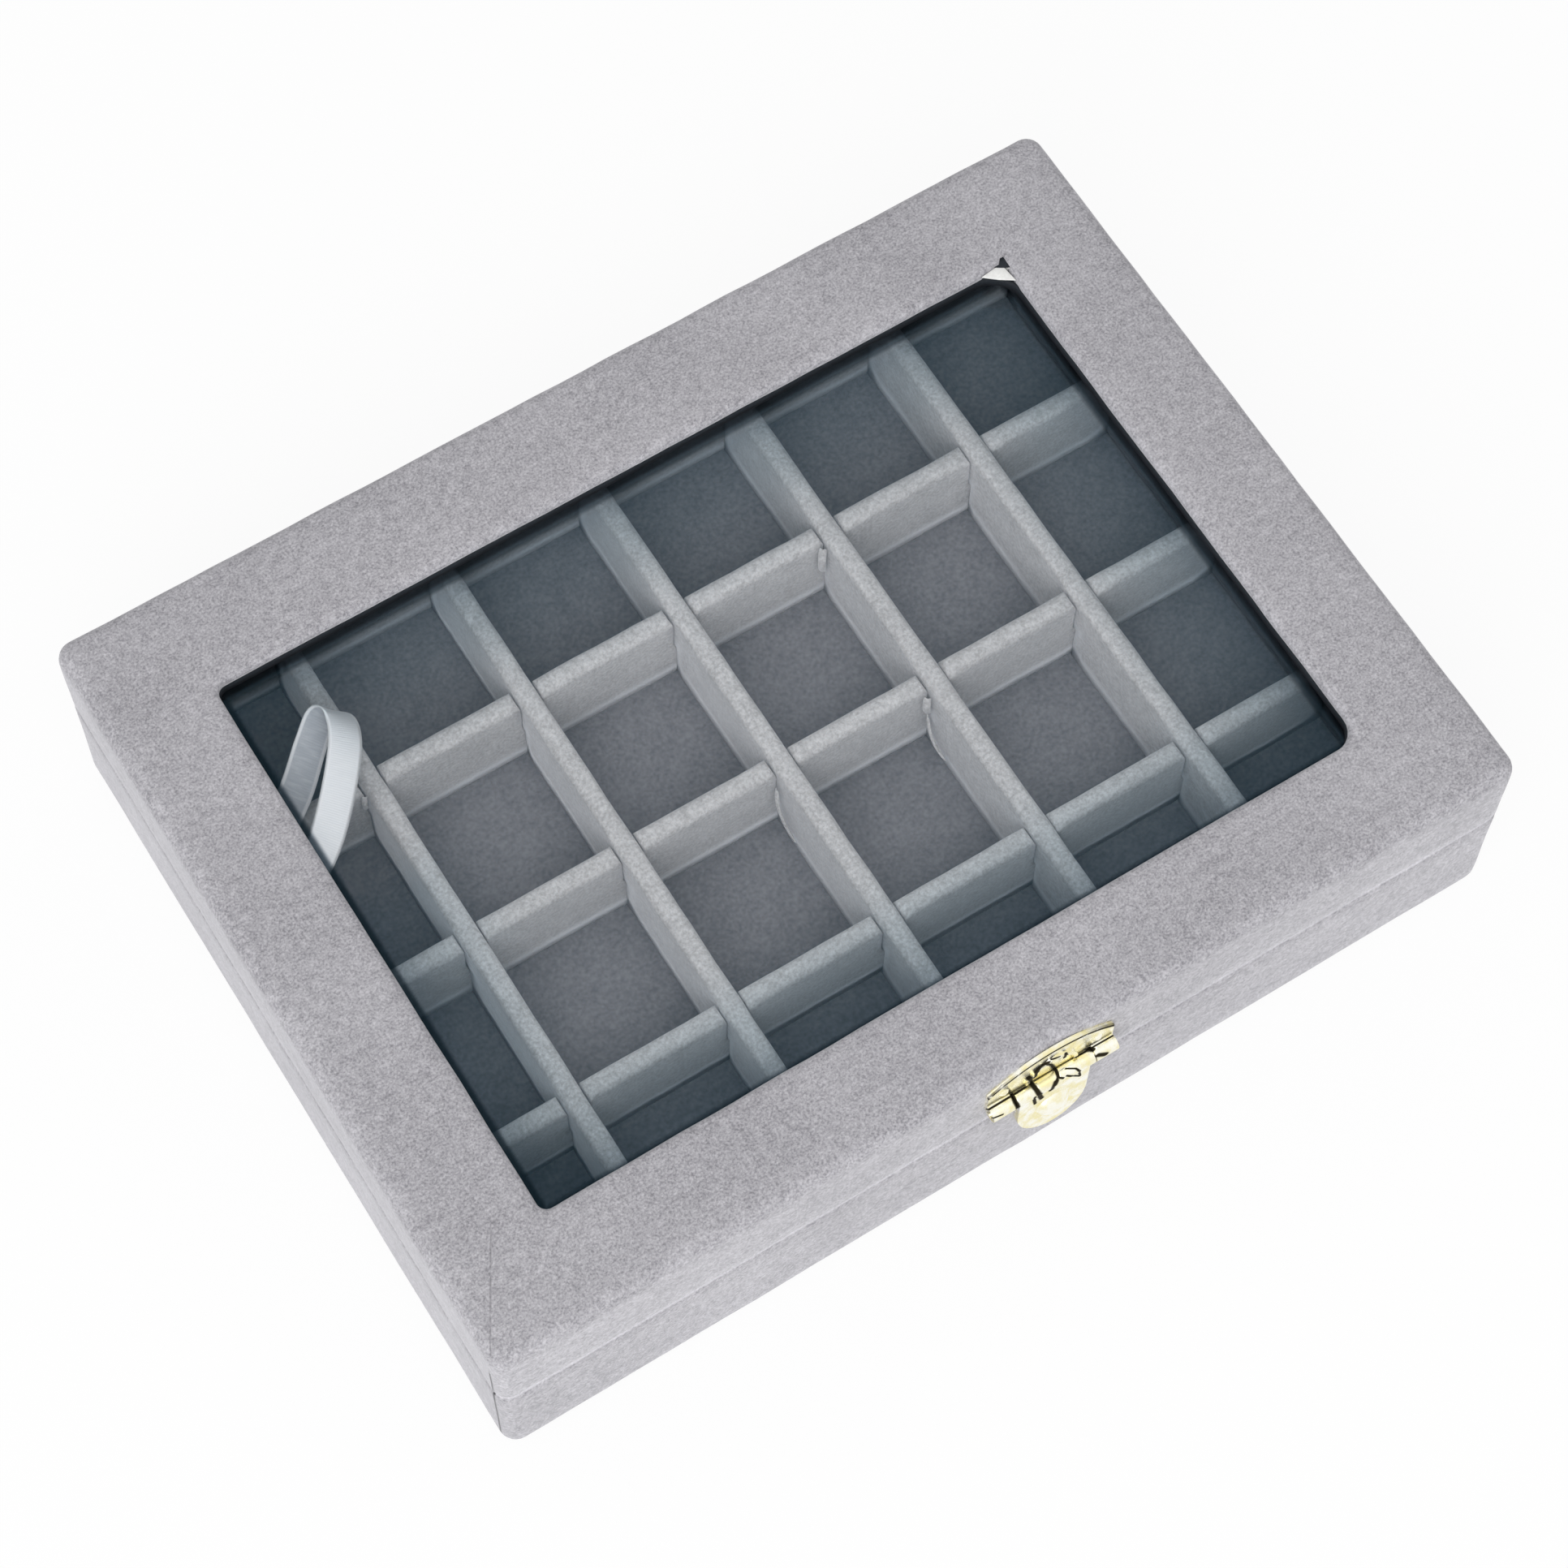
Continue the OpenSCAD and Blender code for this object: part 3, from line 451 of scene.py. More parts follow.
# The stroke low at the plate's far left is painted shade below the barrel's end.
plate_only = [(0.7, (-12.4, 35.5), (-4.9, 35.6)), (0.55, (5.0, 35.8), (12.2, 35.6)),
              (0.7, (2.4, 40.9), (2.7, 38.6)), (0.5, (1.1, 41.2), (-0.3, 41.9)),
              (0.5, (-12.6, 32.2), (-10.7, 31.5)), end_shade_right]
flap_only = [(0.5, (0.7, 34.4), (0.6, 32.7), (1.3, 31.6)), (0.6, (-7.6, 35.5), (-4.9, 35.6)),
             (0.5, (5.0, 35.7), (7.6, 35.6))]
plate_brass = brass("plate_brass_stamped_and_shaded", [scroll_left, scroll_right, rib_left, knuckle_gap_shade_left,
                                            knuckle_gap_shade_right, *plate_only], arch=True)
flap_brass = brass("flap_brass_stamped_and_shaded", [scroll_right, scroll_end, rib_left, rib_short, buckle,
                                          knuckle_gap_shade_left, knuckle_gap_shade_right, *flap_only])
print("stamped brass:", plate_brass.name, flap_brass.name)

# %% [markdown]
# Satin ribbon has a smooth face of long floating threads and a firm woven edge.
# The pattern follows the ribbon, so it reads the ribbon's own UV map: U across, V along in
# millimetres. Fine ribs cross it, and a paler line inside each edge is a painted highlight, where the
# curled edges catch the light. The back of a satin ribbon is duller than its face, and it is painted
# darker too, as painted shade for the strand of the loop that shows it: on the map the back lies
# beside the face, with U from 2 to 3. The long threads of the face mirror the light nearly as metal
# does, so a share of Metallic lies there.

# %% Satin
def satin(name):
    finish = Finish(bpy.data.materials.new(name))
    chart = finish.node("ShaderNodeUVMap", {"uv_map": "ribbon"})
    across, along, _ = finish.parts(chart)
    back = across.fade(1.4, 1.6)
    edge = abs(across - back * 2 - 0.5).fade(0.36, 0.44)
    ribs = (along * 14).math("SINE") * 0.5 + 0.5
    threads = finish.node("ShaderNodeTexNoise", {"noise_dimensions": "2D"},
                          {"Vector": chart, "Scale": 1.6, "Detail": 3, "Roughness": 0.6})
    # The back's darker colour is painted shade, and the paler edge lines are a painted highlight.
    face = finish.mix(back, (0.93, 0.935, 0.95), (0.58, 0.60, 0.64))
    edge_highlight_and_threads = edge.most(threads.fade(0.4, 0.75) * (0.6 - back * 0.3))
    colour = finish.mix(edge_highlight_and_threads, face, (0.98, 0.98, 0.985))
    return finish.done(Base_Color=colour, Metallic=0.5 - back * 0.5, Roughness=0.42 + back * 0.2,
                       Specular_IOR_Level=0.6, Sheen_Weight=1.0, Sheen_Roughness=0.3,
                       Normal=finish.bump(ribs * 0.5 + edge + threads, 0.3, 0.1))


ribbon_satin = satin("ribbon_satin")
print("satin:", ribbon_satin.name)

# %% [markdown]
# Every new piece ends the same way: its mesh gets outward normals and smooth shading, its finish,
# the body that carries it, the hard nodes that it stands for and the slot it takes its finish from.

# %% Turn a mesh into a piece
def piece(bm, name, body, slot, material, stands_for=()):
    """A piece given None for its body is left without a body here."""
    bmesh.ops.recalc_face_normals(bm, faces=bm.faces)
    mesh = bpy.data.meshes.new(name)
    bm.to_mesh(mesh)
    bm.free()
    made = bpy.data.objects.new(name, mesh)
    bpy.context.scene.collection.objects.link(made)
    mesh.materials.append(material)
    for polygon in mesh.polygons:
        polygon.use_smooth = True
    if body:
        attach(made, body)
    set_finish(made, slot)
    if stands_for:
        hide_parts(*stands_for)
    return made


print("pieces ready")

# %% [markdown]
# A mesh can only bend where it has points, so each one is sliced by flat cuts before its points
# are moved a little by noise: cloth glued by hand is never quite flat. The noise has a seed for
# each piece, so that no two pieces wrinkle alike and every run gives the same box.

# %% Slice, unsettle and extrude
def slice_up(bm, axis, places):
    """Cuts the mesh by flat planes across one axis, so that it can bend there."""
    normal = Vector((axis == "x", axis == "y", axis == "z"))
    for place in places:
        bmesh.ops.bisect_plane(bm, geom=bm.verts[:] + bm.edges[:] + bm.faces[:], dist=1e-7,
                               plane_co=normal * place, plane_no=normal)


def steps(low, high, count):
    return [low + (high - low) * index / count for index in range(1, count)]


def slice_grid(bm, **spans):
    """Slices a mesh in metres: each axis gets (from, to, parts), in millimetres."""
    for axis, span in spans.items():
        slice_up(bm, axis, [place * MM for place in steps(*span)])


def unsettle(bm, amount, size, seed):
    """Moves each point along its normal by noise with waves of the given size."""
    bm.normal_update()
    drift = Vector((seed * 3.1, seed * 1.7, seed * 0.9))
    for vert in bm.verts:
        vert.co += vert.normal * amount * noise.noise(vert.co / size + drift)


def of_kind(items, kind):
    return [item for item in items if isinstance(item, kind)]


def extrude_faces(bm, move):
    raised = bmesh.ops.extrude_face_region(bm, geom=bm.faces[:])["geom"]
    bmesh.ops.translate(bm, verts=of_kind(raised, bmesh.types.BMVert), vec=move)


def extrude_row(bm, edges):
    """The points and the edges of the next row, still in the old one's place."""
    made = bmesh.ops.extrude_edge_only(bm, edges=edges)["geom"]
    return of_kind(made, bmesh.types.BMVert), of_kind(made, bmesh.types.BMEdge)


print("a length of 40 in four parts is cut at", steps(0, 40, 4))

# %% [markdown]
# Each half of the box is a board tray with velvet glued round it. The cloth follows the tray's
# profile: in over the rim, down the wall and in under the floor. Glue holds it everywhere, so a
# cloth simulation would have nothing to do, and it is lofted instead: one rounded outline for each
# bend of the profile, bridged to the next one.
# The outline starts as a single square face whose four corners are bevelled.

# %% Outlines and lofts
CORNERS = {(False, False): 0, (True, False): 1, (True, True): 2, (False, True): 3}


def outline(bm, width, depth, radii, level):
    """A rectangle of edges, rounded at the front left, front right, back right and back left."""
    made = bmesh.ops.create_grid(bm, x_segments=1, y_segments=1, size=0.5)["verts"]
    stretch = Matrix.Diagonal((width * MM, depth * MM, 1, 1))
    bmesh.ops.transform(bm, matrix=Matrix.Translation((0, 0, level)) @ stretch, verts=made)
    for vert in made:
        radius = radii[CORNERS[vert.co.x > 0, vert.co.y > 0]]
        bmesh.ops.bevel(bm, geom=[vert], offset=radius * MM, affect="VERTICES", segments=6,
                        profile=0.5, material=-1)
    face = bm.faces[:][0]
    edges, verts = face.edges[:], face.verts[:]
    bmesh.ops.delete(bm, geom=[face], context="FACES_ONLY")
    return edges, verts


def loft(profile):
    """Bridges outlines given as (width, depth, radius or four radii, height, shift back).
    The outlines are stacked well apart while they are bridged, and then moved to their heights."""
    bm = bmesh.new()
    loops = []
    for level, (width, depth, radii, height, *shift) in enumerate(profile):
        four = radii if isinstance(radii, tuple) else (radii,) * 4
        edges, verts = outline(bm, width, depth, four, level)
        loops.append((edges, verts, Vector((0, sum(shift) * MM, height * MM - level))))
    for one, two in zip(loops, loops[1:]):
        bmesh.ops.bridge_loops(bm, edges=one[0] + two[0])
    for edges, verts, move in loops:
        bmesh.ops.translate(bm, verts=verts, vec=move)
    return bm


def inset_rows(rows):
    """Profile rows for outlines all round inside the box's edge: (inset, radius, height)."""
    return [(BOX_WIDE - 2 * inset, BOX_DEEP - 2 * inset, *rest) for inset, *rest in rows]


def skin(made, thickness):
    """Gives an open cloth its thickness, inwards."""
    solid = made.modifiers.new("cloth_thickness", "SOLIDIFY")
    solid.thickness = thickness * MM
    solid.offset = -1


print("lofting ready")

# %% [markdown]
# The cloth of the base turns in under the floor and stops at the edge of the paper sheet there.
# At the top it rolls over the rim. The rim's corners are rounder than a saw would leave them.

# %% Velvet of the base
under_floor = [(11.5, 1, 0.66), (1.7, 2.2, 0.62), (0.7, 2.6, 0.78), (0.2, 2.9, 1.4)]
wall = [(0.02, 3, 2.4), (0.02, 3, 25.0)]
over_rim = [(0.2, 2.9, 25.6), (0.55, 2.7, 25.95), (1.2, 2.1, 26.0), (2.9, 0.9, 26.0),
            (3.5, 0.5, 25.8), (3.65, 0.4, 25.3)]
bm = loft(inset_rows(under_floor + wall + over_rim))
slice_grid(bm, x=(-99, 99, 33), y=(-74, 74, 25), z=(2.4, 25, 6))
unsettle(bm, 0.14 * MM, 11 * MM, 1)
base_cover = piece(bm, "base_cover", "base", "outer_velvet", outer_velvet, ["base_velvet"])
skin(base_cover, 0.6)
print("base cover:", len(base_cover.data.polygons), "faces")

# %% [markdown]
# The cloth of the lid does the same at the rim, rounds the top edges and rolls into the window.
# Between edge and window its outlines change slowly from the box's shape to the window's.
# At the window's back right corner it was cut too far: the corner is sharp there and pulled out,
# so that it shows the board.

# %% Velvet of the lid
lid_rim = [(3.65, 0.4, 27.0), (3.5, 0.5, 26.5), (2.9, 0.9, 26.32), (1.2, 2.1, 26.3),
           (0.55, 2.7, 26.36), (0.2, 2.9, 26.6)]
lid_wall = [(0.02, 3, 27.2), (0.02, 3, 42.5)]
lid_edge = [(0.2, 2.95, 43.5), (0.7, 2.8, 44.3), (1.5, 2.5, 44.8), (2.5, 2.2, 44.98)]
lid_top = [(189, 137.6, 2.5, 45.0, -0.2), (181, 129.6, (2.4, 3, 1.4, 2.4), 44.95, -0.5),
           (173, 121.8, (2.2, 3.4, 1.0, 2.2), 45.0, -0.8), (166, 115.2, (2, 3.8, 0.8, 2), 45.0, -1)]
into_window = [(162.4, 111.8, (1.9, 4.1, 0.6, 1.9), 44.93, -1),
               (161, 110.4, (1.8, 4.2, 0.5, 1.8), 44.65, -1),
               (160.2, 109.7, (1.8, 4.3, 0.4, 1.8), 44.1, -1),
               (160, 109.5, (1.8, 4.4, 0.35, 1.8), 43.3, -1)]
bm = loft(inset_rows(lid_rim + lid_wall + lid_edge) + lid_top + into_window)
slice_grid(bm, x=(-99, 99, 40), y=(-74, 74, 30), z=(27.2, 42.5, 5))
unsettle(bm, 0.16 * MM, 10 * MM, 2)
torn = [vert for vert in bm.verts
        if 0.0793 < vert.co.x < 0.0812 and 0.0530 < vert.co.y < 0.0548 and vert.co.z > 0.043]
bmesh.ops.translate(bm, verts=torn, vec=(0.3 * MM, 1.3 * MM, 0))
lid_cover = piece(bm, "lid_cover", "lid", "outer_velvet", outer_velvet, ["lid_velvet"])
skin(lid_cover, 0.6)
print("lid cover:", len(lid_cover.data.polygons), "faces,", len(torn), "points pulled out")

# %% [markdown]
# Inside the window the board's cut edge is lined with black paper, a sheet of its own that stands
# just behind the cloth. From the photo's side it shows as the dark line between velvet and glass.

# %% Black edging of the window
edging_radii = (1.9, 4.4, 6.2, 1.9)
edging_rows = [(160.5, 110.0, 43.5), (159.9, 109.4, 42.9), (159.8, 109.3, 41.36)]
bm = loft([(width, depth, edging_radii, height, WINDOW_Y) for width, depth, height in edging_rows])
slice_grid(bm, x=(-80, 80, 20))
unsettle(bm, 0.05 * MM, 9 * MM, 3)
window_edging = piece(bm, "window_edging", "lid", "board", black_paper)
skin(window_edging, -0.25)
print("edging:", len(window_edging.data.polygons), "faces")

# %% [markdown]
# The bare corner is a small scrap of white-lined board, level with the top of the lid's board. In the
# tip of the tear a scrap of black paper stands for the shade in the slit between cloth and board:
# painted shade. Each starts as a circle of a few points, which are moved to the corner and extruded to
# the scrap's thickness.

# %% Bare board in the window's corner
def scrap(name, corners, low, thick, material):
    bm = bmesh.new()
    bmesh.ops.create_circle(bm, cap_ends=True, segments=len(corners), radius=1)
    for vert, spot in zip(bm.verts, corners):
        vert.co = Vector((*spot, low)) * MM
    extrude_faces(bm, (0, 0, thick * MM))
    bmesh.ops.bevel(bm, geom=bm.edges[:], offset=thick * 0.25 * MM, affect="EDGES", segments=2,
                    profile=0.5, material=-1)
    return piece(bm, name, "lid", "board", material)


white_corners = ((75.2, 53.6), (78.6, 54.0), (79.7, 53.2), (80.1, 49.9), (77.6, 51.6))
shade_corners = ((78.2, 54.0), (79.6, 55.9), (81.3, 55.9), (81.3, 52.4), (79.9, 52.9))
bare_corner = scrap("bare_board_corner", white_corners, 44.05, 0.4, white_card)
# The black scrap is painted shade in the tip of the tear.
shade_corner_scrap = scrap("torn_paper_corner", shade_corners, 44.4, 0.1, black_paper)
print("bare corner:", len(bare_corner.data.polygons), "faces and", len(shade_corner_scrap.data.polygons))

# %% [markdown]
# The dividers are foam strips in velvet, halved into each other like the card in a bottle crate.
# A Boolean could cut the slots from the finished strip. But drawn from the side, a strip is one
# flat face, and there a slot is only a few cuts with the faces between them taken out.

# %% Slots
def cut_slots(bm, slots, width, halfway, side):
    """Takes away the part of a side view that lies in the slots, below or above halfway."""
    gaps = [(centre - width / 2, centre + width / 2) for centre in slots]
    slice_up(bm, "x", [edge for gap in gaps for edge in gap])
    slice_up(bm, "z", [halfway])
    middles = [(face, face.calc_center_median()) for face in bm.faces]
    out = [face for face, middle in middles if any(a < middle.x < b for a, b in gaps)
           and (middle.z < halfway) == (side == "below")]
    bmesh.ops.delete(bm, geom=out, context="FACES")


print("slot cutter ready")

# %% [markdown]
# After its slots are cut, the side view is extruded to the strip's thickness. Bevels round the
# long top edges and the shoulders of the slots, where the velvet is pulled in. Then the strip is
# sliced and unsettled, because padding is never quite straight. It is made in millimetres and
# shrunk to metres when it goes to its place. Strips of the base are named as padded and those of
# the lid, which are thin, as covered.

# %% Padded strips
def strip(node, body, material, length, thick, low, high, place, along="x", slots=(),
          slot_side="below", slot_width=4.6, halfway=14.25, radius=1.3, limp=0.16, seed=0):
    bm = bmesh.new()
    bmesh.ops.create_grid(bm, x_segments=1, y_segments=1, size=0.5)
    stand = Matrix.Translation((0, -thick / 2, (low + high) / 2))
    stand = stand @ Matrix.Rotation(math.pi / 2, 4, "X")
    stretch = Matrix.Diagonal((length, high - low, 1, 1))
    bmesh.ops.transform(bm, matrix=stand @ stretch, verts=bm.verts)
    if slots:
        cut_slots(bm, slots, slot_width, halfway, slot_side)
    extrude_faces(bm, (0, thick, 0))
    bmesh.ops.dissolve_limit(bm, angle_limit=0.01, verts=bm.verts, edges=bm.edges)
    top = [edge for edge in bm.edges if all(abs(vert.co.z - high) < 1e-6 for vert in edge.verts)]
    bmesh.ops.bevel(bm, geom=top, offset=radius, affect="EDGES", segments=5, profile=0.5,
                    material=-1)
    slice_up(bm, "x", steps(-length / 2, length / 2, round(length / 4)))
    slice_up(bm, "z", steps(low, high - radius, 4))
    bmesh.ops.triangulate(bm, faces=[face for face in bm.faces if len(face.verts) > 4])
    unsettle(bm, limp, 7, seed)
    turn = Matrix.Rotation(math.pi / 2, 4, "Z") if along == "y" else Matrix.Identity(4)
    shrink = Matrix.Diagonal((MM, MM, MM, 1))
    bmesh.ops.transform(bm, matrix=shrink @ Matrix.Translation((*place, 0)) @ turn, verts=bm.verts)
    name = node + ("_padded" if body == "base" else "_covered")
    made = piece(bm, name, body, "inner_velvet", material, [node])


print("strips ready")

# %% [markdown]
# Five long dividers run from front to back and three cross dividers from side to side, which
# leaves twenty-four cells. The long ones are slotted from below and drop over the cross ones,
# which are slotted from above and stand a little lower.

# %% Dividers
long_x = [-62.667, -31.333, 0.0, 31.333, 62.667]
cross_y = [-34.5, 0.0, 34.5]
divider_thick = 3.9
for number, x in enumerate(long_x, 1):
    strip(f"long_divider_{number}", "base", inner_velvet, 133.6, divider_thick, STRIP_LOW,
          STRIP_HIGH, (x, 0), "y", slots=cross_y, seed=number)
for number, y in enumerate(cross_y, 1):
    strip(f"cross_divider_{number}", "base", inner_velvet, 183.6, divider_thick, STRIP_LOW,
          STRIP_HIGH - 0.3, (0, y), "x", slots=long_x, slot_side="above", radius=1.6,
          seed=10 + number)
print("dividers:", len(long_x), "long and", len(cross_y), "cross")

# %% [markdown]
# The liners round the inside are the same padded strips without slots. In the lid they are thin,
# and the left one has a notch at its top, where the ribbon goes in.

# %% Liners
padded = dict(thick=3.6, low=STRIP_LOW, high=STRIP_HIGH)
thin = dict(thick=1.4, low=27.3, high=37.6, radius=0.5, limp=0.06)
# The base's liners take the darker velvet, which is painted shade. The lid's liners take the inside's
# velvet.
for side, sign in (("front", -1), ("back", 1)):
    strip(f"base_{side}_liner", "base", shaded_liner_velvet, 191.3, place=(0, sign * 68.85),
          seed=20 + sign, **padded)
    strip(f"lid_{side}_liner", "lid", inner_velvet, 191.3, place=(0, sign * 69.95),
          seed=30 + sign, **thin)
for side, sign in (("left", -1), ("right", 1)):
    strip(f"base_{side}_liner", "base", shaded_liner_velvet, 133.7, place=(sign * 93.85, 0), along="y",
          seed=24 + sign, **padded)
strip("lid_right_liner", "lid", inner_velvet, 138.1, place=(94.95, 0), along="y", seed=35, **thin)
strip("lid_left_liner", "lid", inner_velvet, 138.1, place=(-94.95, 0), along="y", seed=36,
      slots=[14.0], slot_side="above", slot_width=7.6, halfway=35.7, **thin)
print("liners: four in the base and four in the lid")

# %% [markdown]
# The floor is a sheet of card under a layer of velvet. It is lofted as the covers are, and its two
# open ends are closed with a face each before it is sliced.

# %% Floor pad
pad_low, pad_high = 3.62, 4.38
bm = loft([(191.6, 141.6, 1, pad_low), (192.2, 142.2, 1, 3.8), (192.2, 142.2, 1, 4.2),
           (191.6, 141.6, 1, pad_high)])
for height in (pad_low, pad_high):
    rim = [edge for edge in bm.edges if edge.is_boundary
           and all(abs(vert.co.z - height * MM) < 1e-6 for vert in edge.verts)]
    bmesh.ops.holes_fill(bm, edges=rim, sides=0)
slice_grid(bm, x=(-96, 96, 48), y=(-71, 71, 36))
unsettle(bm, 0.08 * MM, 9 * MM, 40)
floor_pad = piece(bm, "floor_pad_velvet", "base", "inner_velvet", pad_velvet, ["floor_pad"])
print("floor pad:", len(floor_pad.data.polygons), "faces")

# %% [markdown]
# Under the glass the lid has a covered card frame that holds it up. Its profile closes on itself:
# the last outline is the first one again, and the doubled points are merged.

# %% Lining frame
underside = [(163.2, 112.7, 2.5, 37.9, -1), (163.5, 113, 2.5, 37.75, -1),
             (165, 114.5, 2.5, 37.7, -1), (191.8, 141.8, 0.6, 37.7), (192.3, 142.3, 0.6, 37.85)]
upper_side = [(192.3, 142.3, 0.6, 39.05), (191.8, 141.8, 0.6, 39.18), (165, 114.5, 2.5, 39.18, -1),
              (163.5, 113, 2.5, 39.12, -1), (163.2, 112.7, 2.5, 38.95, -1)]
bm = loft(underside + upper_side + underside[:1])
bmesh.ops.remove_doubles(bm, verts=bm.verts, dist=1e-6)
slice_grid(bm, x=(-95, 95, 30))
lining = piece(bm, "lid_lining_velvet", "lid", "inner_velvet", inner_velvet, ["lid_lining_frame"])
print("lining:", len(lining.data.polygons), "faces")

# %% [markdown]
# A narrow satin ribbon keeps the lid from falling back. With the lid closed it lies slack in a
# loop: out from the base liner, round a soft fold over the cells, and back up to the lid liner.
# The route is the same list of shares that the hard model uses: how far the loop reaches in, how
# far it runs back, and how high it has come between the liners. Each place on the route also says
# which way the ribbon's width points there, because the loop twists.

# %% Route of the ribbon
slot_x, base_y, lid_y = -96.0, 28.0, 14.0
reach, back, rise = 33.2, 17.8, 13.6
base_end = [Vector((slot_x, base_y, STRIP_HIGH - 9)), Vector((slot_x, base_y, STRIP_HIGH - 1))]
out_shares = [(0.02, 0, 0.05), (0.12, 0.02, 0.14), (0.35, 0.16, 0.25), (0.6, 0.455, 0.36),
              (0.81, 0.82, 0.45), (0.94, 1, 0.56), (1, 0.84, 0.66), (0.91, 0.45, 0.75)]
home_shares = [(0.61, 0.56, 0.82), (0.33, 0.17, 0.88), (0.11, 0.01, 0.925), (0.03, 0, 0.93)]
route_points = base_end + [
    Vector((slot_x + across * reach, start + behind * back, STRIP_HIGH + up * rise))
    for start, shares in ((base_y, out_shares), (lid_y, home_shares))
    for across, behind, up in shares]
side_points = [Vector(side) for side in (
    (0, 1, 0), (0, 1, 0), (-0.1, 1, 0), (-0.35, 0.93, 0.1), (-0.6, 0.75, 0.25),
    (-0.68, 0.6, 0.38), (-0.72, 0.45, 0.52), (-0.74, 0.34, 0.6), (-0.76, 0.42, 0.5),
    (-0.78, 0.5, 0.36), (-0.72, 0.62, 0.3), (-0.55, 0.8, 0.2), (-0.2, 1, 0), (0, 1, 0))]


def smooth(points, count=6):
    """A curve through all the points, with count steps between neighbours."""
    out = []
    for index in range(len(points) - 1):
        a, b, c, d = (points[max(0, min(len(points) - 1, index + step))] for step in (-1, 0, 1, 2))
        for step in range(count):
            t = step / count
            bend = (2 * a - 5 * b + 4 * c - d) * t * t + (3 * b - a - 3 * c + d) * t ** 3
            out.append(0.5 * (2 * b + (c - a) * t + bend))
    return out + [points[-1].copy()]


route, sides = smooth(route_points), smooth(side_points)
length = sum((two - one).length for one, two in zip(route, route[1:]))
print("ribbon:", len(route), "stations,", round(length, 1), "mm long")

# %% [markdown]
# The ribbon is too thin and too twisted for a bevelled curve, so it is woven row by row. A
# cross-row of nine points is extruded again and again along the route, each row turned to match
# the ribbon's direction there. The edges of a woven ribbon are a little stiffer and curl up, so
# the row is bent slightly. The rows' numbers give the UV map for the satin.

# %% Weaving a ribbon
def row_matrix(route, sides, index):
    ahead = (route[min(index + 1, len(route) - 1)] - route[max(index - 1, 0)]).normalized()
    side = (sides[index] - ahead * sides[index].dot(ahead)).normalized()
    matrix = Matrix((ahead, side, ahead.cross(side))).transposed().to_4x4()
    return Matrix.Translation(route[index] * MM) @ matrix @ Matrix.Diagonal((MM, MM, MM, 1))


def woven(route, sides, done=0.0, width=6, curl=0.16, thick=0.3):
    bm = bmesh.new()
    mark = bm.verts.layers.float.new("along")
    wide = bm.verts.layers.float.new("across")
    row = [bm.verts.new((0, -width / 2 + width * index / 8, curl * abs(index / 4 - 1) ** 3))
           for index in range(9)]
    for index, vert in enumerate(row):
        vert[wide], vert[mark] = index / 8, done
    edges = [bm.edges.new(pair) for pair in zip(row, row[1:])]
    bmesh.ops.transform(bm, matrix=row_matrix(route, sides, 0), verts=row)
    for index in range(1, len(route)):
        done += (route[index] - route[index - 1]).length
        row, edges = extrude_row(bm, edges)
        turn = row_matrix(route, sides, index) @ row_matrix(route, sides, index - 1).inverted()
        bmesh.ops.transform(bm, matrix=turn, verts=row)
        for vert in row:
            vert[mark] = done
    chart = bm.loops.layers.uv.new("ribbon")
    face_count = len(bm.faces)
    bmesh.ops.solidify(bm, geom=bm.faces[:], thickness=thick * MM)
    for number, face in enumerate(bm.faces):
        beside = 2 if number < face_count else 0
        for corner in face.loops:
            corner[chart].uv = (corner.vert[wide] + beside, corner.vert[mark])
    return bm


print("loom ready")

# %% [markdown]
# The ribbon is slack. It comes out from behind the base liner, and its far end goes back into the
# object, over the lid's liner.

# %% Ribbon
ribbon = piece(woven(route, sides), "satin_ribbon", None, "ribbon", ribbon_satin, ["stay_ribbon"])
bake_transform(ribbon)
[spot * MM for spot in route]
print("ribbon faces:", len(ribbon.data.polygons))

# %% [markdown]
# The ribbon's glued end goes over the lid's liner and down behind it. It never bends, so it is a
# piece of its own that goes with the lid.

# %% Glued end of the ribbon
over_liner = [Vector((x, lid_y, z)) for x, z in (
    (-95.1, 36.62), (-95.6, 36.6), (-95.95, 36.3), (-96.0, 35.4), (-96.0, 31.7))]
end_route = smooth(over_liner, 3)
end_sides = [Vector((0, 1, 0))] * len(end_route)
ribbon_end = piece(woven(end_route, end_sides, length), "satin_ribbon_end", "lid", "ribbon",
                   ribbon_satin, ["stay_ribbon"])
print("ribbon end faces:", len(ribbon_end.data.polygons))

# %% [markdown]
# Where the dividers cross, the maker tucked spare velvet into the slots, and some of it shows as
# small folded tongues. Each is a short row of points extruded down the wall and thickened.

# %% Tucked velvet
def tongue(name, points, width, facing):
    bm = bmesh.new()
    out = Vector((*facing, 0)).normalized()
    wide = Vector((-out.y, out.x, 0))
    row = []
    for index in range(5):
        belly = out * 0.45 * math.sin(math.pi * index / 4)
        row.append(bm.verts.new(Vector(points[0]) + wide * width * (index / 4 - 0.5) + belly))
    edges = [bm.edges.new(pair) for pair in zip(row, row[1:])]
    for one, two in zip(points, points[1:]):
        row, edges = extrude_row(bm, edges)
        bmesh.ops.translate(bm, verts=row, vec=Vector(two) - Vector(one))
    bmesh.ops.solidify(bm, geom=bm.faces[:], thickness=0.4)
    bmesh.ops.transform(bm, matrix=Matrix.Diagonal((MM, MM, MM, 1)), verts=bm.verts)
    made = piece(bm, name, "base", "inner_velvet", inner_velvet)
    modifier = made.modifiers.new("soften", "SUBSURF")
    modifier.levels = modifier.render_levels = 2


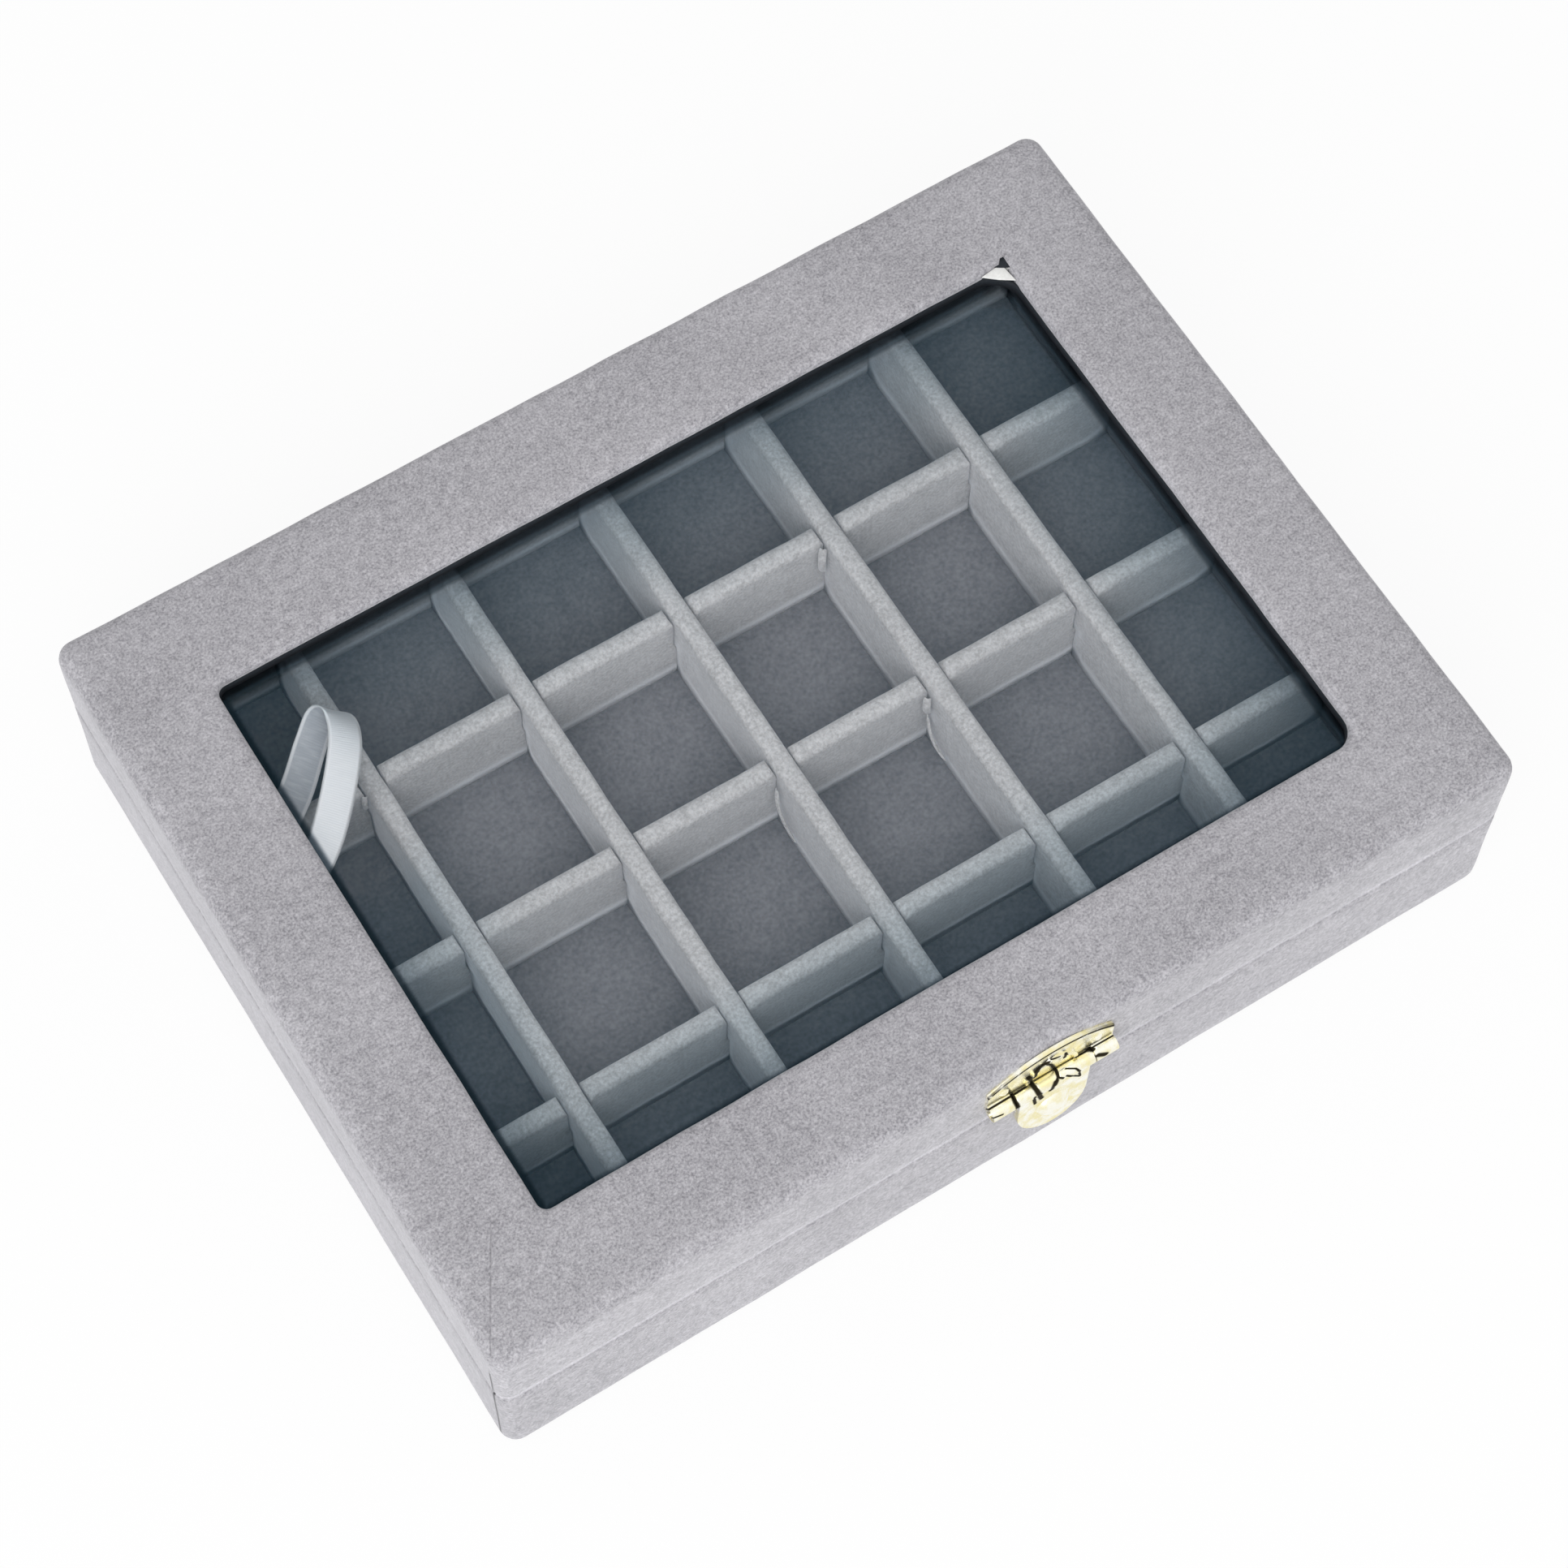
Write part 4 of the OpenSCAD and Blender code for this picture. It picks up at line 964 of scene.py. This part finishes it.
tucks = [
    (1.7, (-1, -1), [(28.7, 32.0, 22.4), (28.0, 31.2, 20.5), (27.8, 30.9, 17.5), (28.3, 31.4, 14.8)]),
    (1.7, (-1, -1), [(28.7, -2.6, 22.0), (28.1, -3.2, 20.4), (28.0, -3.5, 18.6), (28.4, -3.2, 17.2)]),
    (1.5, (-1, 0.3), [(28.6, -3.4, 16.2), (27.7, -5.2, 14.2), (27.6, -7.6, 11.6), (28.5, -9.8, 9.2)]),
    (1.5, (-1, 0.2), [(-2.8, -3.2, 20.6), (-3.5, -4.0, 17.6), (-3.6, -6.6, 13.8), (-2.9, -9.6, 10.0)]),
    (1.3, (-1, -1), [(-64.9, 32.5, 22.8), (-65.5, 31.8, 21.6), (-65.6, 31.6, 20.0),
                     (-65.2, 32.0, 18.8)])]
for number, (width, facing, points) in enumerate(tucks, 1):
    tongue(f"velvet_tuck_{number}", points, width, facing)
print("tucks:", len(tucks))

# %% [markdown]
# The hard nodes keep the shapes that the hard model gave them and only get their finishes here.
# The glass, the paper sheet and the two stamped plates are named. Of the others, boards and the
# glass's spacer are white-lined card, and all parts of the hinges and the hasp are plain brass.

# %% Finishes of the hard nodes
finishes = {"window_glass": window_glass, "bottom_sheet": grey_paper,
            "hasp_lid_plate": plate_brass, "hasp_flap": flap_brass}
for node in bpy.data.objects:
    if node.type != "MESH" or node.get("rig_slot"):
        continue
    if node.name.startswith(("base_", "lid_", "glass_spacer")) and not node.hide_render:
        finishes[node.name] = white_card
    if "hinge" in node.name or node.name.startswith("hasp"):
        finishes.setdefault(node.name, plain_brass)
for name, material in finishes.items():
    node = bpy.data.objects[name]
    node.data.materials.clear()
    node.data.materials.append(material)
print("hard nodes finished:", len(finishes))

# %% [markdown]
# The studio: a white floor, an even white world and two large soft lamps from the front left.
# The picture behind the box is plain white, so the floor and the world show as white to the
# camera, to glass and to metal, while the floor keeps a share of the soft shadow.

# %% Floor
bm = bmesh.new()
bmesh.ops.create_grid(bm, x_segments=1, y_segments=1, size=3)
floor_mesh = bpy.data.meshes.new("studio_floor")
bm.to_mesh(floor_mesh)
bm.free()
floor = bpy.data.objects.new("studio_floor", floor_mesh)
bpy.context.scene.collection.objects.link(floor)
floor.location.z = -0.00002
finish = Finish(bpy.data.materials.new("studio_white"))
seen = finish.seen_by("Is Camera Ray", "Is Glossy Ray", "Is Transmission Ray")
matt = finish.node("ShaderNodeBsdfDiffuse", None, {"Color": (0.88, 0.88, 0.88, 1)})
glow = finish.node("ShaderNodeEmission", None, {"Color": (1, 1, 1, 1), "Strength": 1.0})
paint = finish.surface(finish.node("ShaderNodeMixShader", None, [seen * 0.9, matt, glow]))
floor_mesh.materials.append(paint)
print("floor painted:", paint.name)

# %% [markdown]
# The world gives most of the light, a little less than full white. The camera and mirroring things
# see it at full white.

# %% World
finish = Finish(bpy.data.worlds.new("studio_world"), end="ShaderNodeOutputWorld")
seen = finish.seen_by("Is Camera Ray", "Is Glossy Ray")
level = finish.node("ShaderNodeMapRange", None, {"Value": seen, "To Min": 0.64, "To Max": 1.0})
sky = finish.node("ShaderNodeBackground", None, {"Color": (1, 1, 1, 1), "Strength": level})
bpy.context.scene.world = finish.surface(sky)
print("world:", bpy.context.scene.world.name)

# %% [markdown]
# One lamp stands low, for the side walls, and one high, for the top. Each is a large square, which
# keeps the shadows soft, and both look at the middle of the box.

# %% Lamps
def lamp(name, size, watts, spot, target=(0, 0, 0.03)):
    data = bpy.data.lights.new(name, "AREA")
    data.shape = "SQUARE"
    data.size = size
    data.energy = watts
    made = bpy.data.objects.new(name, data)
    bpy.context.scene.collection.objects.link(made)
    made.location = spot
    made.rotation_euler = (Vector(target) - Vector(spot)).to_track_quat("-Z", "Y").to_euler()


lamp("soft_lamp_low", 1.4, 12.0, (-1.2, -1.0, 0.75))
lamp("soft_lamp_high", 1.2, 10.0, (-0.5, -0.85, 1.35))
bpy.context.scene.view_settings.view_transform = "Standard"
print("lamps:", [light.name for light in bpy.data.lights])
